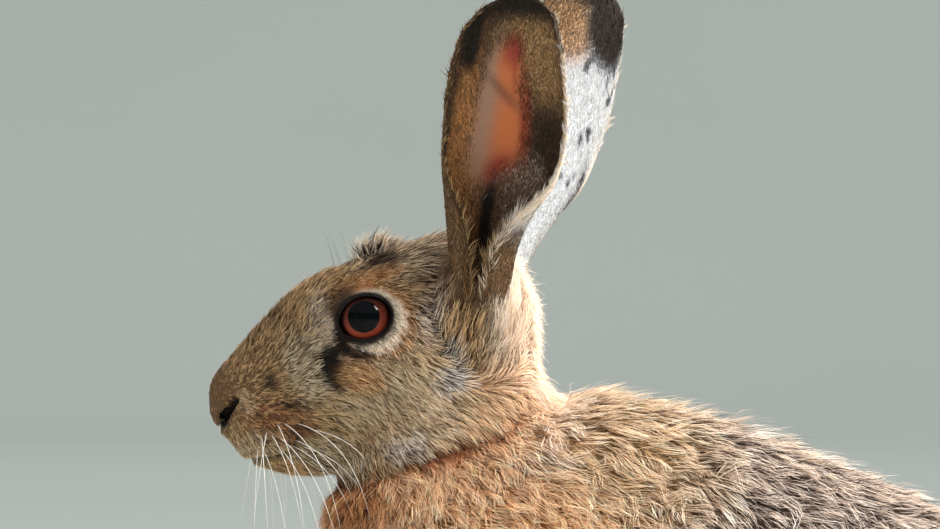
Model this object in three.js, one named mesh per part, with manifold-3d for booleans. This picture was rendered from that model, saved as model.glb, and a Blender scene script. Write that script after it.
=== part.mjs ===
// Brown hare (Lepus europaeus), life size, sitting alert on straight forelegs with both ears up.
// Millimetres, +Z up. The hare faces -X, its left side is towards -Y, and the floor is at Z = 0.
// X is measured from the eyes, and the last lines move the hare so that its box is centred on Z.
// Every solid reaches to the tips of the coat.
import * as THREE from "three";
import { mergeVertices } from "three/addons/utils/BufferGeometryUtils.js";
import Module from "manifold-3d";

const wasm = await Module();
wasm.setup();

const V = (x, y, z) => new THREE.Vector3(x, y, z);

// Driving dimensions
const GAP = 0.3; // clearance between neighbouring nodes
const EYE = { at: V(0, 19.3, 290), radius: 10 }; // the right eye, mirrored for the left
const LIDS = { thick: 1.3, long: 9.4, high: 7.9, slope: 0.32, sides: 18, rows: 12 };
const EAR_WALL = { root: 3.4, tip: 2.2, margin: 0.45 }; // thickness, and its share at the margins
const LEFT_EAR = { root: V(40.6, -22, 286), tip: V(53.5, -74, 400), twist: -0.12, bend: 2 };
const RIGHT_EAR = { root: V(38, 21, 287), tip: V(81.5, 44, 407), twist: 0.3, bend: 2 };
const CREST = { at: V(2.5, 0, 304), height: 16, spread: 9, locks: 8, radius: 1.9 };
const WRIST_HEIGHT = 31; // where foreleg and forepaw part
const CLAW = { length: 6, radius: 1.7, sink: 3, drop: 3 };

const COLOURS = {
  face: 0x8a6d4c,
  neck: 0xb98a5e,
  body: 0x9a8268,
  haunch: 0xa08465,
  leg: 0xb08a5c,
  ear: 0x6b5844,
  tail: 0xd8d2c6,
  eye: 0x7a2c18,
  claw: 0x3a302a,
};

const clamp01 = (t) => Math.min(1, Math.max(0, t));
const signedPower = (v, power) => Math.sign(v) * Math.abs(v) ** power;

// Turns closed geometry into a solid for joining and cutting, and back.
function solidFrom(geometry) {
  const bare = geometry.clone();
  bare.deleteAttribute("normal");
  bare.deleteAttribute("uv");
  const merged = mergeVertices(bare, 1e-4);
  return new wasm.Manifold(
    new wasm.Mesh({
      numProp: 3,
      vertProperties: new Float32Array(merged.attributes.position.array),
      triVerts: new Uint32Array(merged.index.array),
    }),
  );
}

function geometryFrom(solid) {
  const mesh = solid.getMesh();
  const positions = new Float32Array(mesh.numVert * 3);
  for (let i = 0; i < mesh.numVert; i++) {
    positions.set(mesh.vertProperties.subarray(i * mesh.numProp, i * mesh.numProp + 3), i * 3);
  }
  return new THREE.BufferGeometry()
    .setAttribute("position", new THREE.BufferAttribute(positions, 3))
    .setIndex(new THREE.BufferAttribute(mesh.triVerts, 1));
}

// A solid from points and triangles that are all wound alike, turned to face outwards.
function solidFromFaces(points, index) {
  const geometry = new THREE.BufferGeometry().setFromPoints(points).setIndex(index);
  const solid = solidFrom(geometry);
  if (solid.volume() > 0) return solid;
  const turned = index.map((_, i) => index[i % 3 === 0 ? i : i % 3 === 1 ? i + 1 : i - 1]);
  return solidFrom(geometry.setIndex(turned));
}

const largestBody = (solid) =>
  solid.decompose().reduce((best, body) => (body.volume() > best.volume() ? body : best));
const joined = (solids) => solids.reduce((all, solid) => all.add(solid));
const cutBy = (solid, cutters) => cutters.reduce((left, cutter) => left.subtract(cutter), solid);
const mirrored = (solid) => solid.mirror([0, 1, 0]);

const middle = (ring) => ring.reduce((sum, p) => sum.add(p), V(0, 0, 0)).divideScalar(ring.length);

// Closes a stack of rings, each a list of points in the same order, with a fan at both ends.
function skinRings(rings) {
  const sides = rings[0].length;
  const points = rings.flat();
  const first = points.push(middle(rings[0])) - 1;
  const last = points.push(middle(rings[rings.length - 1])) - 1;
  const end = (rings.length - 1) * sides;
  const index = [];
  for (let j = 0; j < sides; j++) {
    const k = (j + 1) % sides;
    for (let i = 0; i < rings.length - 1; i++) {
      const a = i * sides + j;
      const b = i * sides + k;
      index.push(a, b, a + sides, b, b + sides, a + sides);
    }
    index.push(first, k, j, last, end + j, end + k);
  }
  return solidFromFaces(points, index);
}

// A smooth curve through rows of numbers, read at u from 0 to 1, each row being one station.
function through(rows) {
  return (u) => {
    const s = u * (rows.length - 1);
    const i = Math.min(rows.length - 2, Math.floor(s));
    const t = s - i;
    return rows[i].map((p1, c) => {
      const p2 = rows[i + 1][c];
      const p0 = i > 0 ? rows[i - 1][c] : 2 * p1 - p2;
      const p3 = i + 2 < rows.length ? rows[i + 2][c] : 2 * p2 - p1;
      const m1 = (p2 - p0) / 2;
      const m2 = (p3 - p1) / 2;
      const d = p2 - p1;
      return p1 + m1 * t + (3 * d - 2 * m1 - m2) * t * t + (m1 + m2 - 2 * d) * t * t * t;
    });
  };
}

// A station of the head, neck or torso: back point, belly point, half width, the share of the height
// at which it is widest, and how square its upper and lower halves are (2 is an ellipse).
const station = (back, belly, half, widest = 0.45, upper = 2, lower = 2) =>
  [...back, ...belly, half, widest, upper, lower];

// Lofts stations into a closed solid, grown outwards by `extra`. `swell` adds to the local radius.
function trunkLoft(stations, { rings, sides, extra = 0, swell = () => 0 }) {
  const read = through(stations);
  const made = [];
  for (let i = 0; i <= rings; i++) {
    const [tx, tz, bx, bz, half, widest, upper, lower] = read(i / rings);
    const up = V(tx - bx, 0, tz - bz);
    const height = up.length();
    up.normalize();
    const centre = V(bx, 0, bz).addScaledVector(up, height * widest);
    const ring = [];
    for (let j = 0; j < sides; j++) {
      const angle = (2 * Math.PI * j) / sides;
      const above = Math.sin(angle) > 0;
      const power = 2 / (above ? upper : lower);
      const reach = height * (above ? 1 - widest : widest);
      const y = signedPower(Math.cos(angle), power) * half;
      const h = signedPower(Math.sin(angle), power) * reach;
      const point = centre.clone().addScaledVector(up, h).add(V(0, y, 0));
      const out = point.clone().sub(centre).normalize();
      ring.push(point.addScaledVector(out, extra + swell(point)));
    }
    made.push(ring);
  }
  growEnd(made[0], made[1], extra);
  growEnd(made[rings], made[rings - 1], extra);
  return skinRings(made);
}

// Moves an end ring away from its neighbour, so that a grown loft is longer too.
function growEnd(ring, next, extra) {
  const outward = middle(ring).sub(middle(next)).normalize();
  ring.forEach((p) => p.addScaledVector(outward, extra));
}

// A limb station: its centre and its radii in the hare's long plane and sideways.
const joint = (x, y, z, long, side) => [x, y, z, long, side];

// A limb lofted along its stations, with rounded ends, grown outwards by `extra`. Its rings lie
// closer at both ends.
function limbLoft(stations, { rings, sides, extra = 0, roundStart = 0.12, roundEnd = 0.12 }) {
  const read = through(stations);
  const step = 0.01;
  const made = [];
  for (let i = 0; i <= rings; i++) {
    const u = (1 - Math.cos((Math.PI * i) / rings)) / 2;
    const [x, y, z, long, side] = read(u);
    const before = read(clamp01(u - step));
    const after = read(clamp01(u + step));
    const axis = V(after[0] - before[0], after[1] - before[1], after[2] - before[2]).normalize();
    const across = V(0, 1, 0).addScaledVector(axis, -axis.y).normalize();
    const other = axis.clone().cross(across);
    const near = Math.max(1 - clamp01(u / roundStart), 1 - clamp01((1 - u) / roundEnd));
    const round = Math.sqrt(Math.max(0.06, 1 - near * near));
    const ring = [];
    for (let j = 0; j < sides; j++) {
      const angle = (2 * Math.PI * j) / sides;
      const point = V(x, y, z).addScaledVector(across, Math.cos(angle) * (side * round + extra));
      ring.push(point.addScaledVector(other, Math.sin(angle) * (long * round + extra)));
    }
    made.push(ring);
  }
  growEnd(made[0], made[1], extra);
  growEnd(made[rings], made[rings - 1], extra);
  return skinRings(made);
}

function ellipsoid(centre, radii, { turn = 0, sides = LIDS.sides, rows = LIDS.rows } = {}) {
  const sphere = new THREE.SphereGeometry(1, sides, rows);
  return solidFrom(sphere.scale(...radii).rotateY(turn).translate(...centre));
}

const ball = (radius) => ellipsoid(EYE.at.toArray(), [radius, radius, radius]);

const box = (size, centre) => solidFrom(new THREE.BoxGeometry(...size).translate(...centre));

// Head, from the nose tip to the back of the skull
const HEAD = [
  station([-54.9, 264.4], [-54.7, 257.2], 4.2, 0.5),
  station([-53.5, 269.2], [-53.0, 252.6], 8.0, 0.5),
  station([-50.3, 273.6], [-48.6, 247.4], 11.2, 0.42, 2.1, 2.2),
  station([-45.5, 279.4], [-42.9, 241.0], 14.2, 0.38, 2.0, 2.3),
  station([-39.9, 285.8], [-36.2, 237.4], 16.6, 0.38, 2.0, 2.2),
  station([-33.4, 292.8], [-28.2, 235.0], 18.4, 0.42, 2.1, 2.1),
  station([-26.4, 299.6], [-19.6, 234.2], 20.6, 0.48, 2.3, 2.0),
  station([-18.8, 304.6], [-10.6, 234.2], 23.4, 0.55, 2.5, 2.0),
  station([-10.0, 308.0], [-0.4, 235.8], 25.6, 0.57, 2.5, 2.1),
  station([0.4, 311.6], [11.9, 238.8], 27.6, 0.56, 2.4, 2.2),
  station([12.4, 316.4], [26.0, 243.0], 29.6, 0.52, 2.3, 2.2),
  station([26.0, 319.6], [40.0, 248.8], 30.6, 0.5, 2.2, 2.2),
  station([39.4, 319.0], [51.2, 257.4], 28.6, 0.5, 2.1, 2.1),
  station([51.0, 311.8], [57.6, 269.0], 21.0, 0.5),
  station([58.0, 299.5], [60.4, 283.0], 9.0, 0.5),
];

// Swellings and hollows of the face: place, reach and height, the same on both sides.
const FACE_FORMS = [
  { name: "whisker pad", at: V(-36, 15, 252), reach: 10, height: 2.4 },
  { name: "nostril wing", at: V(-50, 8, 261), reach: 5, height: 1.2 },
  { name: "brow", at: V(-1, 22, 303), reach: 9, height: 2.6 },
  { name: "cheek bone", at: V(-3, 27, 274), reach: 11, height: 1.8 },
  { name: "hollow before the eye", at: V(-16, 20, 280), reach: 9, height: -2.2 },
  { name: "hollow above the muzzle", at: V(-30, 15, 272), reach: 9, height: -1.2 },
  { name: "masseter", at: V(18, 28, 262), reach: 15, height: 2.4 },
  { name: "temple", at: V(18, 22, 304), reach: 9, height: -1.2 },
];

function faceSwell(point) {
  const side = V(point.x, Math.abs(point.y), point.z);
  return FACE_FORMS.reduce((sum, { at, reach, height }) => {
    const away = side.distanceTo(at) / reach;
    return sum + height * Math.exp(-away * away);
  }, 0);
}

const headForm = (extra = 0) => trunkLoft(HEAD, { rings: 26, sides: 26, extra, swell: faceSwell });

// The mouth's line and the cleft of the upper lip are grooves of this depth in the head.
const MOUTH = {
  line: [[-58, 240.6], [-46, 240.8], [-38.5, 240.6], [-30.5, 241.6], [-25.6, 244.6], [-23.6, 249]],
  width: 1.3,
  depth: 2.6,
  steps: 9,
};
const LIP_CLEFT = { at: [-51, 0, 248.5], size: [12, 1.2, 13], depth: 2.2 };
const NOSTRIL = { at: [-48.9, 9.6, 256.4], radii: [5.6, 3.2, 1.8], slope: 1.05 };

// A plate right through the head whose outline is a band along the line.
function bandPlate({ line, width, steps }) {
  const curve = new THREE.CatmullRomCurve3(line.map(([x, z]) => V(x, z, 0)));
  const edge = (side) =>
    curve.getPoints(steps).map((p, i) => {
      const tangent = curve.getTangent(i / steps);
      const out = (side * width) / 2;
      return new THREE.Vector2(p.x - out * tangent.y, p.y + out * tangent.x);
    });
  const shape = new THREE.Shape([...edge(1), ...edge(-1).reverse()]);
  const reach = 40;
  const plate = new THREE.ExtrudeGeometry(shape, { depth: 2 * reach, bevelEnabled: false });
  return solidFrom(plate.rotateX(Math.PI / 2).translate(0, reach, 0));
}

// Cuts the eye sockets and the almond openings between the lids, which stand on the head as balls.
function withLids(head) {
  const outline = new THREE.Shape().absellipse(0, 0, LIDS.long, LIDS.high, 0, 2 * Math.PI);
  const across = new THREE.ExtrudeGeometry(outline, { depth: 20, bevelEnabled: false, curveSegments: 9 });
  const opening = across.rotateX(-Math.PI / 2).rotateY(-LIDS.slope);
  const front = solidFrom(opening.translate(EYE.at.x, EYE.at.y + LIDS.thick, EYE.at.z));
  const lids = ball(EYE.radius + GAP + LIDS.thick);
  const socket = ball(EYE.radius + GAP);
  const raised = joined([head, lids, mirrored(lids)]);
  return cutBy(raised, [socket, mirrored(socket), front, mirrored(front)]);
}

// The tuft of longer hair on the crown, as flat tapered locks that fan out.
function crestLocks() {
  return Array.from({ length: CREST.locks }, (_, i) => {
    const share = i / (CREST.locks - 1) - 0.5;
    const side = i % 2 ? 1 : -1;
    const root = CREST.at.clone().add(V(share * CREST.spread * 0.7, side * 1.7, 0));
    const tall = CREST.height * (1 - 0.35 * Math.abs(share) - 0.07 * (i % 3));
    const lean = CREST.spread * share * 0.5 + 0.9 * side;
    const r = CREST.radius;
    return limbLoft(
      [
        joint(root.x, root.y, root.z, 1.3 * r, 0.8 * r),
        joint(root.x + lean * 0.3, root.y * 1.2, root.z + tall * 0.65, r, 0.7 * r),
        joint(root.x + lean, root.y * 1.6, root.z + tall, 0.3 * r, 0.3 * r),
      ],
      { rings: 4, sides: 5 },
    );
  });
}

function headSolid() {
  const mouth = bandPlate(MOUTH).subtract(headForm(-MOUTH.depth));
  const cleft = box(LIP_CLEFT.size, LIP_CLEFT.at).subtract(headForm(-LIP_CLEFT.depth));
  const nostril = ellipsoid(NOSTRIL.at, NOSTRIL.radii, { turn: -NOSTRIL.slope, sides: 12, rows: 8 });
  const face = joined([withLids(headForm()), ...crestLocks()]);
  return largestBody(cutBy(face, [mouth, cleft, nostril, mirrored(nostril)]));
}

// The base of the neck and the chest, where neck and torso share their form
const SHOULDER_STATIONS = [
  station([68.0, 263.6], [-15.6, 206.0], 41, 0.5, 2.1, 2.1),
  station([79.0, 265.2], [-17.0, 188.0], 46, 0.5, 2.1, 2.1),
  station([93.5, 263.4], [-10.0, 168.0], 49, 0.5, 2.1, 2.2),
];

// Neck, from inside the head down to the shoulders
const NECK = [
  station([38.0, 298.0], [4.0, 252.0], 20, 0.5),
  station([54.0, 303.0], [-10.5, 240.0], 28, 0.5),
  station([60.0, 291.0], [-13.0, 232.0], 31.5, 0.5),
  station([60.8, 279.5], [-15.0, 224.5], 34, 0.5, 2.1, 2.1),
  station([62.8, 270.6], [-15.4, 216.0], 37, 0.5, 2.1, 2.1),
  ...SHOULDER_STATIONS.slice(0, 2),
];

// Torso, from the base of the neck over the withers and back to the rump
const TORSO = [
  ...SHOULDER_STATIONS,
  station([113.0, 258.8], [14.0, 150.0], 51.5, 0.48, 2.1, 2.2),
  station([134.0, 251.8], [50.0, 134.0], 53.0, 0.46, 2.1, 2.2),
  station([158.5, 242.8], [88.0, 119.0], 54.0, 0.44, 2.1, 2.2),
  station([185.0, 231.4], [124.0, 101.0], 55.0, 0.43, 2.1, 2.2),
  station([211.5, 217.8], [157.0, 80.0], 55.5, 0.43, 2.1, 2.2),
  station([238.0, 199.0], [186.0, 58.0], 55.0, 0.44, 2.1, 2.2),
  station([262.5, 174.0], [213.0, 39.0], 53.0, 0.45, 2.1, 2.2),
  station([283.0, 144.0], [238.0, 26.0], 49.0, 0.46),
  station([297.0, 113.0], [261.0, 20.0], 41.0, 0.47),
  station([304.0, 84.0], [280.0, 22.0], 29.0, 0.48),
  station([305.0, 62.0], [293.0, 31.0], 14.0, 0.5),
];
const torsoForm = (extra = 0) => trunkLoft(TORSO, { rings: 24, sides: 24, extra });
const neckForm = (extra = 0) => trunkLoft(NECK, { rings: 9, sides: 24, extra });

// Limbs of the right side, mirrored for the left
const SHOULDER = [
  joint(98, 32, 238, 14, 9),
  joint(74, 36, 218, 34, 17),
  joint(44, 37, 190, 38, 20),
  joint(42, 36, 160, 28, 18),
  joint(47, 34, 134, 19, 15),
];
const FORELEG = [
  joint(54, 32, 170, 24, 15),
  joint(47, 31.5, 142, 21.5, 15.5),
  joint(38, 29, 108, 15, 12.5),
  joint(31, 27, 74, 11.5, 10.5),
  joint(26, 25.5, 44, 10.8, 10.5),
  joint(22.5, 25, 20, 11.5, 11.5),
];
const FOREPAW = [
  joint(25.5, 25.2, 42, 10.8, 10.5),
  joint(22.5, 25, 22, 12.5, 12),
  joint(10, 24.8, 11.5, 13.5, 13.5),
  joint(-5, 24.4, 9, 11, 14.5),
  joint(-16, 24, 7.5, 8.8, 13.5),
];
const THIGH = [
  joint(291, 30, 150, 12, 12),
  joint(277, 39, 136, 40, 25),
  joint(248, 46, 116, 59, 31.5),
  joint(214, 48, 94, 59, 30),
  joint(182, 48, 74, 43, 25),
  joint(158, 47, 58, 25, 17),
];
const SHANK = [
  joint(158, 50, 52, 20, 14),
  joint(200, 56, 42, 21, 16),
  joint(245, 59, 32, 17, 14),
  joint(284, 59, 25, 14.5, 12.5),
  joint(302, 58.5, 21, 13, 11),
];
const HIND_FOOT = [
  joint(309, 58.5, 15, 17, 11.5),
  joint(285, 59, 13, 15, 12.5),
  joint(245, 60, 11.5, 13.5, 12.5),
  joint(205, 60, 11, 13, 13.5),
  joint(176, 59.5, 10, 12, 17),
  joint(163, 59, 8, 9.5, 17),
];
const TAIL = [
  joint(290, 0, 56, 14, 15),
  joint(308, 0, 38, 17, 18),
  joint(329, 0, 23, 18, 20),
  joint(354, 0, 15.5, 17.5, 18.5),
  joint(376, 0, 12.5, 13, 13),
  joint(392, 0, 10, 5, 5),
];

const shoulderForm = (extra = 0) =>
  limbLoft(SHOULDER, { rings: 9, sides: 16, extra, roundStart: 0.35, roundEnd: 0.3 });
const thighForm = (extra = 0) =>
  limbLoft(THIGH, { rings: 11, sides: 18, extra, roundStart: 0.3, roundEnd: 0.25 });
const shankForm = (extra = 0) => limbLoft(SHANK, { rings: 8, sides: 12, extra });
const forelegForm = () => limbLoft(FORELEG, { rings: 9, sides: 14 });
const tailForm = () => limbLoft(TAIL, { rings: 9, sides: 14, roundEnd: 0.3 });

// Four toes run forward from each paw, the middle two longest. Each ends in a claw of its own.
const FORE_TOES = { x: -10, y: 24, z: 5.6, pitch: 7.2, length: 13, radius: 6.4, back: [3.2, 0, 0.6, 4] };
const HIND_TOES = { x: 168, y: 59, z: 6.4, pitch: 8.8, length: 17, radius: 7.4, back: [4, 0, 0.6, 5] };

const toeSide = (toes, i) => toes.y + (i - 1.5) * toes.pitch;
const toeTip = (toes, i) => V(toes.x - toes.length + toes.back[i], toeSide(toes, i), toes.z * 0.85);

function toeForms(toes) {
  return toes.back.map((_, i) => {
    const tip = toeTip(toes, i);
    const root = V(toes.x + 8, toeSide(toes, i), toes.z);
    const knuckle = root.clone().lerp(tip, 0.55);
    const r = toes.radius;
    return limbLoft(
      [
        joint(...root, r * 0.9, r * 0.8),
        joint(...knuckle, r, r * 0.82),
        joint(...tip, r * 0.8, r * 0.7),
      ],
      { rings: 3, sides: 7, roundStart: 0.2, roundEnd: 0.4 },
    );
  });
}

function clawForm(toes, i, extra = 0) {
  const { x, y, z } = toeTip(toes, i);
  const r = CLAW.radius;
  return limbLoft(
    [
      joint(x + CLAW.sink, y, z - 0.4, r, r * 0.8),
      joint(x - CLAW.length * 0.5, y, z - 1.0, r * 0.8, r * 0.6),
      joint(x - CLAW.length, y, z - CLAW.drop, r * 0.3, r * 0.3),
    ],
    { rings: 3, sides: 5, extra },
  );
}

const belowFloor = box([600, 400, 100], [150, 0, -50]);
const slab = (low, high) => box([600, 400, high - low], [150, 0, (low + high) / 2]);

function pawSolid(stations, toes, cutters) {
  const sole = limbLoft(stations, { rings: 8, sides: 12, roundEnd: 0.15 });
  const claws = toes.back.map((_, i) => clawForm(toes, i, GAP));
  return largestBody(cutBy(joined([sole, ...toeForms(toes)]), [belowFloor, ...claws, ...cutters]));
}

// An ear's stations: share of the way to the tip, front and rear margin from its axis, half of the
// angle that the cup wraps in degrees (180 is a closed tube) and the depth of the cup.
const EAR = [
  [0.0, -10, 6, 165, 16],
  [0.12, -13, 6, 165, 18],
  [0.24, -15.5, 7.5, 158, 18],
  [0.35, -17.8, 12, 140, 17],
  [0.45, -19.6, 18, 112, 15],
  [0.57, -20.6, 21, 85, 12],
  [0.69, -21.2, 20.7, 72, 10],
  [0.81, -20, 18, 66, 8],
  [0.9, -16.5, 15.2, 62, 6],
  [0.96, -10.5, 12, 60, 4],
  [1.0, -2.5, 5.5, 60, 2],
];
const EAR_MESH = { along: 19, across: 10 };

// The ear's axis from root to tip, the way its cup opens, and the way from front to rear margin.
function earFrame({ root, tip, twist }) {
  const axis = tip.clone().sub(root).normalize();
  const side = Math.sign(root.y);
  const open = V(0, side, 0).addScaledVector(axis, -side * axis.y).normalize();
  open.applyAxisAngle(axis, twist);
  return { axis, open, rearward: open.clone().cross(axis).multiplyScalar(side) };
}

// A point of the cup's section, its first number rearwards and its second the way it opens.
function earSection([, front, rear, wrap, depth], share) {
  const half = THREE.MathUtils.degToRad(wrap);
  const angle = share * half;
  const widest = wrap < 90 ? Math.sin(half) : 1;
  const across = (front + rear) / 2 + (((rear - front) / 2) * Math.sin(angle)) / widest;
  const inwards = (depth * (Math.cos(angle) - Math.cos(half))) / (1 - Math.cos(half));
  return new THREE.Vector2(across, -inwards);
}

function earSheet(ear) {
  const { axis, open, rearward } = earFrame(ear);
  const length = ear.tip.distanceTo(ear.root);
  const read = through(EAR);
  const step = 0.02;
  const rows = [];
  for (let i = 0; i <= EAR_MESH.along; i++) {
    const row = read(i / EAR_MESH.along);
    const wall = THREE.MathUtils.lerp(EAR_WALL.root, EAR_WALL.tip, row[0]);
    const centre = ear.root.clone().addScaledVector(axis, row[0] * length);
    centre.addScaledVector(open, ear.bend * Math.sin(Math.PI * row[0]));
    const place = (flat) => centre.clone().addScaledVector(rearward, flat.x).addScaledVector(open, flat.y);
    const outer = [];
    const inner = [];
    for (let j = 0; j <= EAR_MESH.across; j++) {
      const share = (2 * j) / EAR_MESH.across - 1;
      const flat = earSection(row, share);
      const along = earSection(row, share + step).sub(earSection(row, share - step)).normalize();
      const half = (wall * (1 - (1 - EAR_WALL.margin) * share * share)) / 2;
      const out = new THREE.Vector2(along.y, -along.x).multiplyScalar(half);
      outer.push(place(flat.clone().add(out)));
      inner.push(place(flat.clone().sub(out)));
    }
    rows.push({ outer, inner });
  }
  return sheetSolid(rows);
}

// A closed sheet from rows of outer and inner points, split alike on both faces.
function sheetSolid(rows) {
  const count = rows[0].outer.length;
  const points = rows.flatMap(({ outer, inner }) => [...outer, ...inner]);
  const outer = (i, j) => i * 2 * count + j;
  const inner = (i, j) => outer(i, j) + count;
  const index = [];
  const quad = (a, b, c, d) => index.push(a, b, c, a, c, d);
  const last = rows.length - 1;
  const end = count - 1;
  for (let i = 0; i < last; i++) {
    for (let j = 0; j < end; j++) {
      quad(outer(i, j), outer(i, j + 1), outer(i + 1, j + 1), outer(i + 1, j));
      quad(inner(i + 1, j + 1), inner(i, j + 1), inner(i, j), inner(i + 1, j));
    }
    quad(outer(i, 0), outer(i + 1, 0), inner(i + 1, 0), inner(i, 0));
    quad(outer(i, end), inner(i, end), inner(i + 1, end), outer(i + 1, end));
  }
  for (let j = 0; j < end; j++) {
    quad(outer(0, j), inner(0, j), inner(0, j + 1), outer(0, j + 1));
    quad(outer(last, j), outer(last, j + 1), inner(last, j + 1), inner(last, j));
  }
  return solidFromFaces(points, index);
}

// The ear's root fills the tube below the cup and sinks into the head.
function earSolid(ear, cutters) {
  const { axis, open, rearward } = earFrame(ear);
  const length = ear.tip.distanceTo(ear.root);
  const plug = EAR.slice(0, 3).map((row) => {
    const [share, front, rear, , depth] = row;
    const centre = ear.root.clone().addScaledVector(axis, share * length * 0.8);
    centre.addScaledVector(rearward, (front + rear) / 2).addScaledVector(open, -depth / 2);
    return joint(...centre, (rear - front) / 2, depth / 2 + 0.8);
  });
  const root = limbLoft(plug, { rings: 6, sides: 12, roundStart: 0.05, roundEnd: 0.2 });
  return largestBody(cutBy(joined([earSheet(ear), root]), cutters));
}

// The whole hare, node by node. What grows from another node is cut back from it by the gap.
const hare = new THREE.Group();
const whole = new THREE.Group();
hare.add(whole);

function node(name, solid, colour, roughness = 0.9) {
  const material = new THREE.MeshStandardMaterial({ color: COLOURS[colour], roughness, metalness: 0 });
  const mesh = new THREE.Mesh(geometryFrom(solid), material);
  mesh.name = name;
  whole.add(mesh);
}

const headGrown = headForm(GAP);
const neckGrown = neckForm(GAP);
const torsoGrown = torsoForm(GAP);
const shoulderGrown = shoulderForm(GAP);
const thighGrown = thighForm(GAP);
const shankGrown = shankForm(GAP);
const belowWrist = slab(-1, WRIST_HEIGHT + GAP / 2);
const aboveWrist = slab(WRIST_HEIGHT - GAP / 2, 400);

// Limbs of the right side, by name, with their colour
const limbs = {
  shoulder: [cutBy(shoulderForm(), [torsoGrown, neckGrown]), "body"],
  foreleg: [cutBy(forelegForm(), [torsoGrown, neckGrown, shoulderGrown, belowWrist]), "leg"],
  forepaw: [pawSolid(FOREPAW, FORE_TOES, [aboveWrist]), "leg"],
  thigh: [cutBy(thighForm(), [torsoGrown, belowFloor]), "haunch"],
  shank: [cutBy(shankForm(), [torsoGrown, thighGrown, belowFloor]), "haunch"],
  hind_foot: [pawSolid(HIND_FOOT, HIND_TOES, [torsoGrown, thighGrown, shankGrown]), "leg"],
};

node("head", headSolid(), "face");
node("neck", largestBody(cutBy(neckForm(), [headGrown, torsoGrown])), "neck");
node("torso", torsoForm(), "body");
node("tail", largestBody(cutBy(tailForm(), [torsoGrown, belowFloor])), "tail");

for (const [side, ear, turn] of [["left", LEFT_EAR, mirrored], ["right", RIGHT_EAR, (solid) => solid]]) {
  node(`ear_${side}`, earSolid(ear, [headGrown, neckGrown]), "ear");
  node(`eye_${side}`, turn(ball(EYE.radius)), "eye", 0.1);
  for (const [name, [solid, colour]] of Object.entries(limbs)) {
    node(`${name}_${side}`, turn(largestBody(solid)), colour);
  }
  for (const [foot, toes] of [["fore", FORE_TOES], ["hind", HIND_TOES]]) {
    toes.back.forEach((_, i) => {
      node(`claw_${foot}_${side}_${i + 1}`, turn(cutBy(clawForm(toes, i), [belowFloor])), "claw", 0.4);
    });
  }
}

const bounds = new THREE.Box3().setFromObject(whole);
whole.position.x = -(bounds.min.x + bounds.max.x) / 2;

export default hare;
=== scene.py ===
"""Dresses the brown hare's solids: one skin, a coat of mesh tufts, eyes, lids, claws and whiskers.

Places on head and neck are millimetres behind and above the centre of the eye, in the hare's long plane.
Everything else is metres in the shared frame: the hare faces -X and its left side is towards -Y.
"""

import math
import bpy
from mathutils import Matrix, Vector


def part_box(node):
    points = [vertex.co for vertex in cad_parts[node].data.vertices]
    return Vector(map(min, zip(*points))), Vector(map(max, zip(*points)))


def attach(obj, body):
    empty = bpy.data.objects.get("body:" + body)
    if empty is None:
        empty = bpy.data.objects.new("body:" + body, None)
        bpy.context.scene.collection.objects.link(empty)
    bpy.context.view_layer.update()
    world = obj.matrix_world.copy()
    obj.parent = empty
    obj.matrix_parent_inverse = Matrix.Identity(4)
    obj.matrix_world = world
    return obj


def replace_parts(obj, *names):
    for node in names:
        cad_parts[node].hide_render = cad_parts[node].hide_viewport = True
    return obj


bl_info = {
    "name": "Brown hare",
    "version": (1, 0, 0),
    "blender": (4, 5, 0),
    "location": "3D View > Sidebar > Hare",
    "description": "Skin, coat, eyes, whiskers and studio of a life-size brown hare",
    "category": "Object",
}

from typing import NamedTuple

import bpy
import numpy as np
from bpy.props import FloatProperty, FloatVectorProperty, IntProperty, PointerProperty
from mathutils import Vector, kdtree

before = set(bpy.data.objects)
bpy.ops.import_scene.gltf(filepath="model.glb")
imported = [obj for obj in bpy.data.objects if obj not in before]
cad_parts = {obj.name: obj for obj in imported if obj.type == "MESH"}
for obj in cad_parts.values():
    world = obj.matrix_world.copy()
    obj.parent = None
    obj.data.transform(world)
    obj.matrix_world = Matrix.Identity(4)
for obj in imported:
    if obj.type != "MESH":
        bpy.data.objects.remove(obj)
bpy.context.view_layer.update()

MM = 0.001
SIDES = ("left", "right")
SIGN = {"left": -1, "right": 1}


def middle(node):
    low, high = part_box(node)
    return np.array((low + high) / 2)


EYES = {side: middle(f"eye_{side}") for side in SIDES}
EYE_X, _, EYE_Z = EYES["left"]
EYE_RADIUS = (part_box("eye_left")[1].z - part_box("eye_left")[0].z) / 2


def place(x, y, z):
    """A point in metres from millimetres behind, beside and above the eyes."""
    return np.array([EYE_X + x * MM, y * MM, EYE_Z + z * MM])


def face_place(points):
    """Millimetres behind and above the eyes of each point."""
    return np.stack([points[:, 0] - EYE_X, points[:, 2] - EYE_Z], 1) / MM


def unit(vectors):
    return vectors / np.maximum(np.linalg.norm(vectors, axis=-1, keepdims=True), 1e-12)


def dot(a, b):
    return (a * b).sum(-1, keepdims=True)


def smooth_step(value, low, high):
    t = np.clip((value - low) / (high - low), 0, 1)
    return t * t * (3 - 2 * t)


def blend(a, b, factor):
    return a + (b - a) * factor


def through(rows, t):
    """A smooth curve through rows whose first number is the place t."""
    rows = np.array(rows, float)
    at = rows[:, 0]
    slopes = np.gradient(rows, at, axis=0)
    i = np.clip(np.searchsorted(at, t) - 1, 0, len(at) - 2)
    gap = (at[i + 1] - at[i])[:, None]
    u = (t[:, None] - at[i][:, None]) / gap
    start, end = rows[i], rows[i + 1]
    bend = slopes[i] * gap * u * (1 - u) ** 2 - slopes[i + 1] * gap * u * u * (1 - u)
    return start * (1 + 2 * u) * (1 - u) ** 2 + end * u * u * (3 - 2 * u) + bend


# What a user may change


def colour(label, *value):
    words = {"name": label, "description": f"{label}, as linear light"}
    return FloatVectorProperty(**words, subtype="COLOR", size=3, min=0, max=1, default=value)


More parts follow.
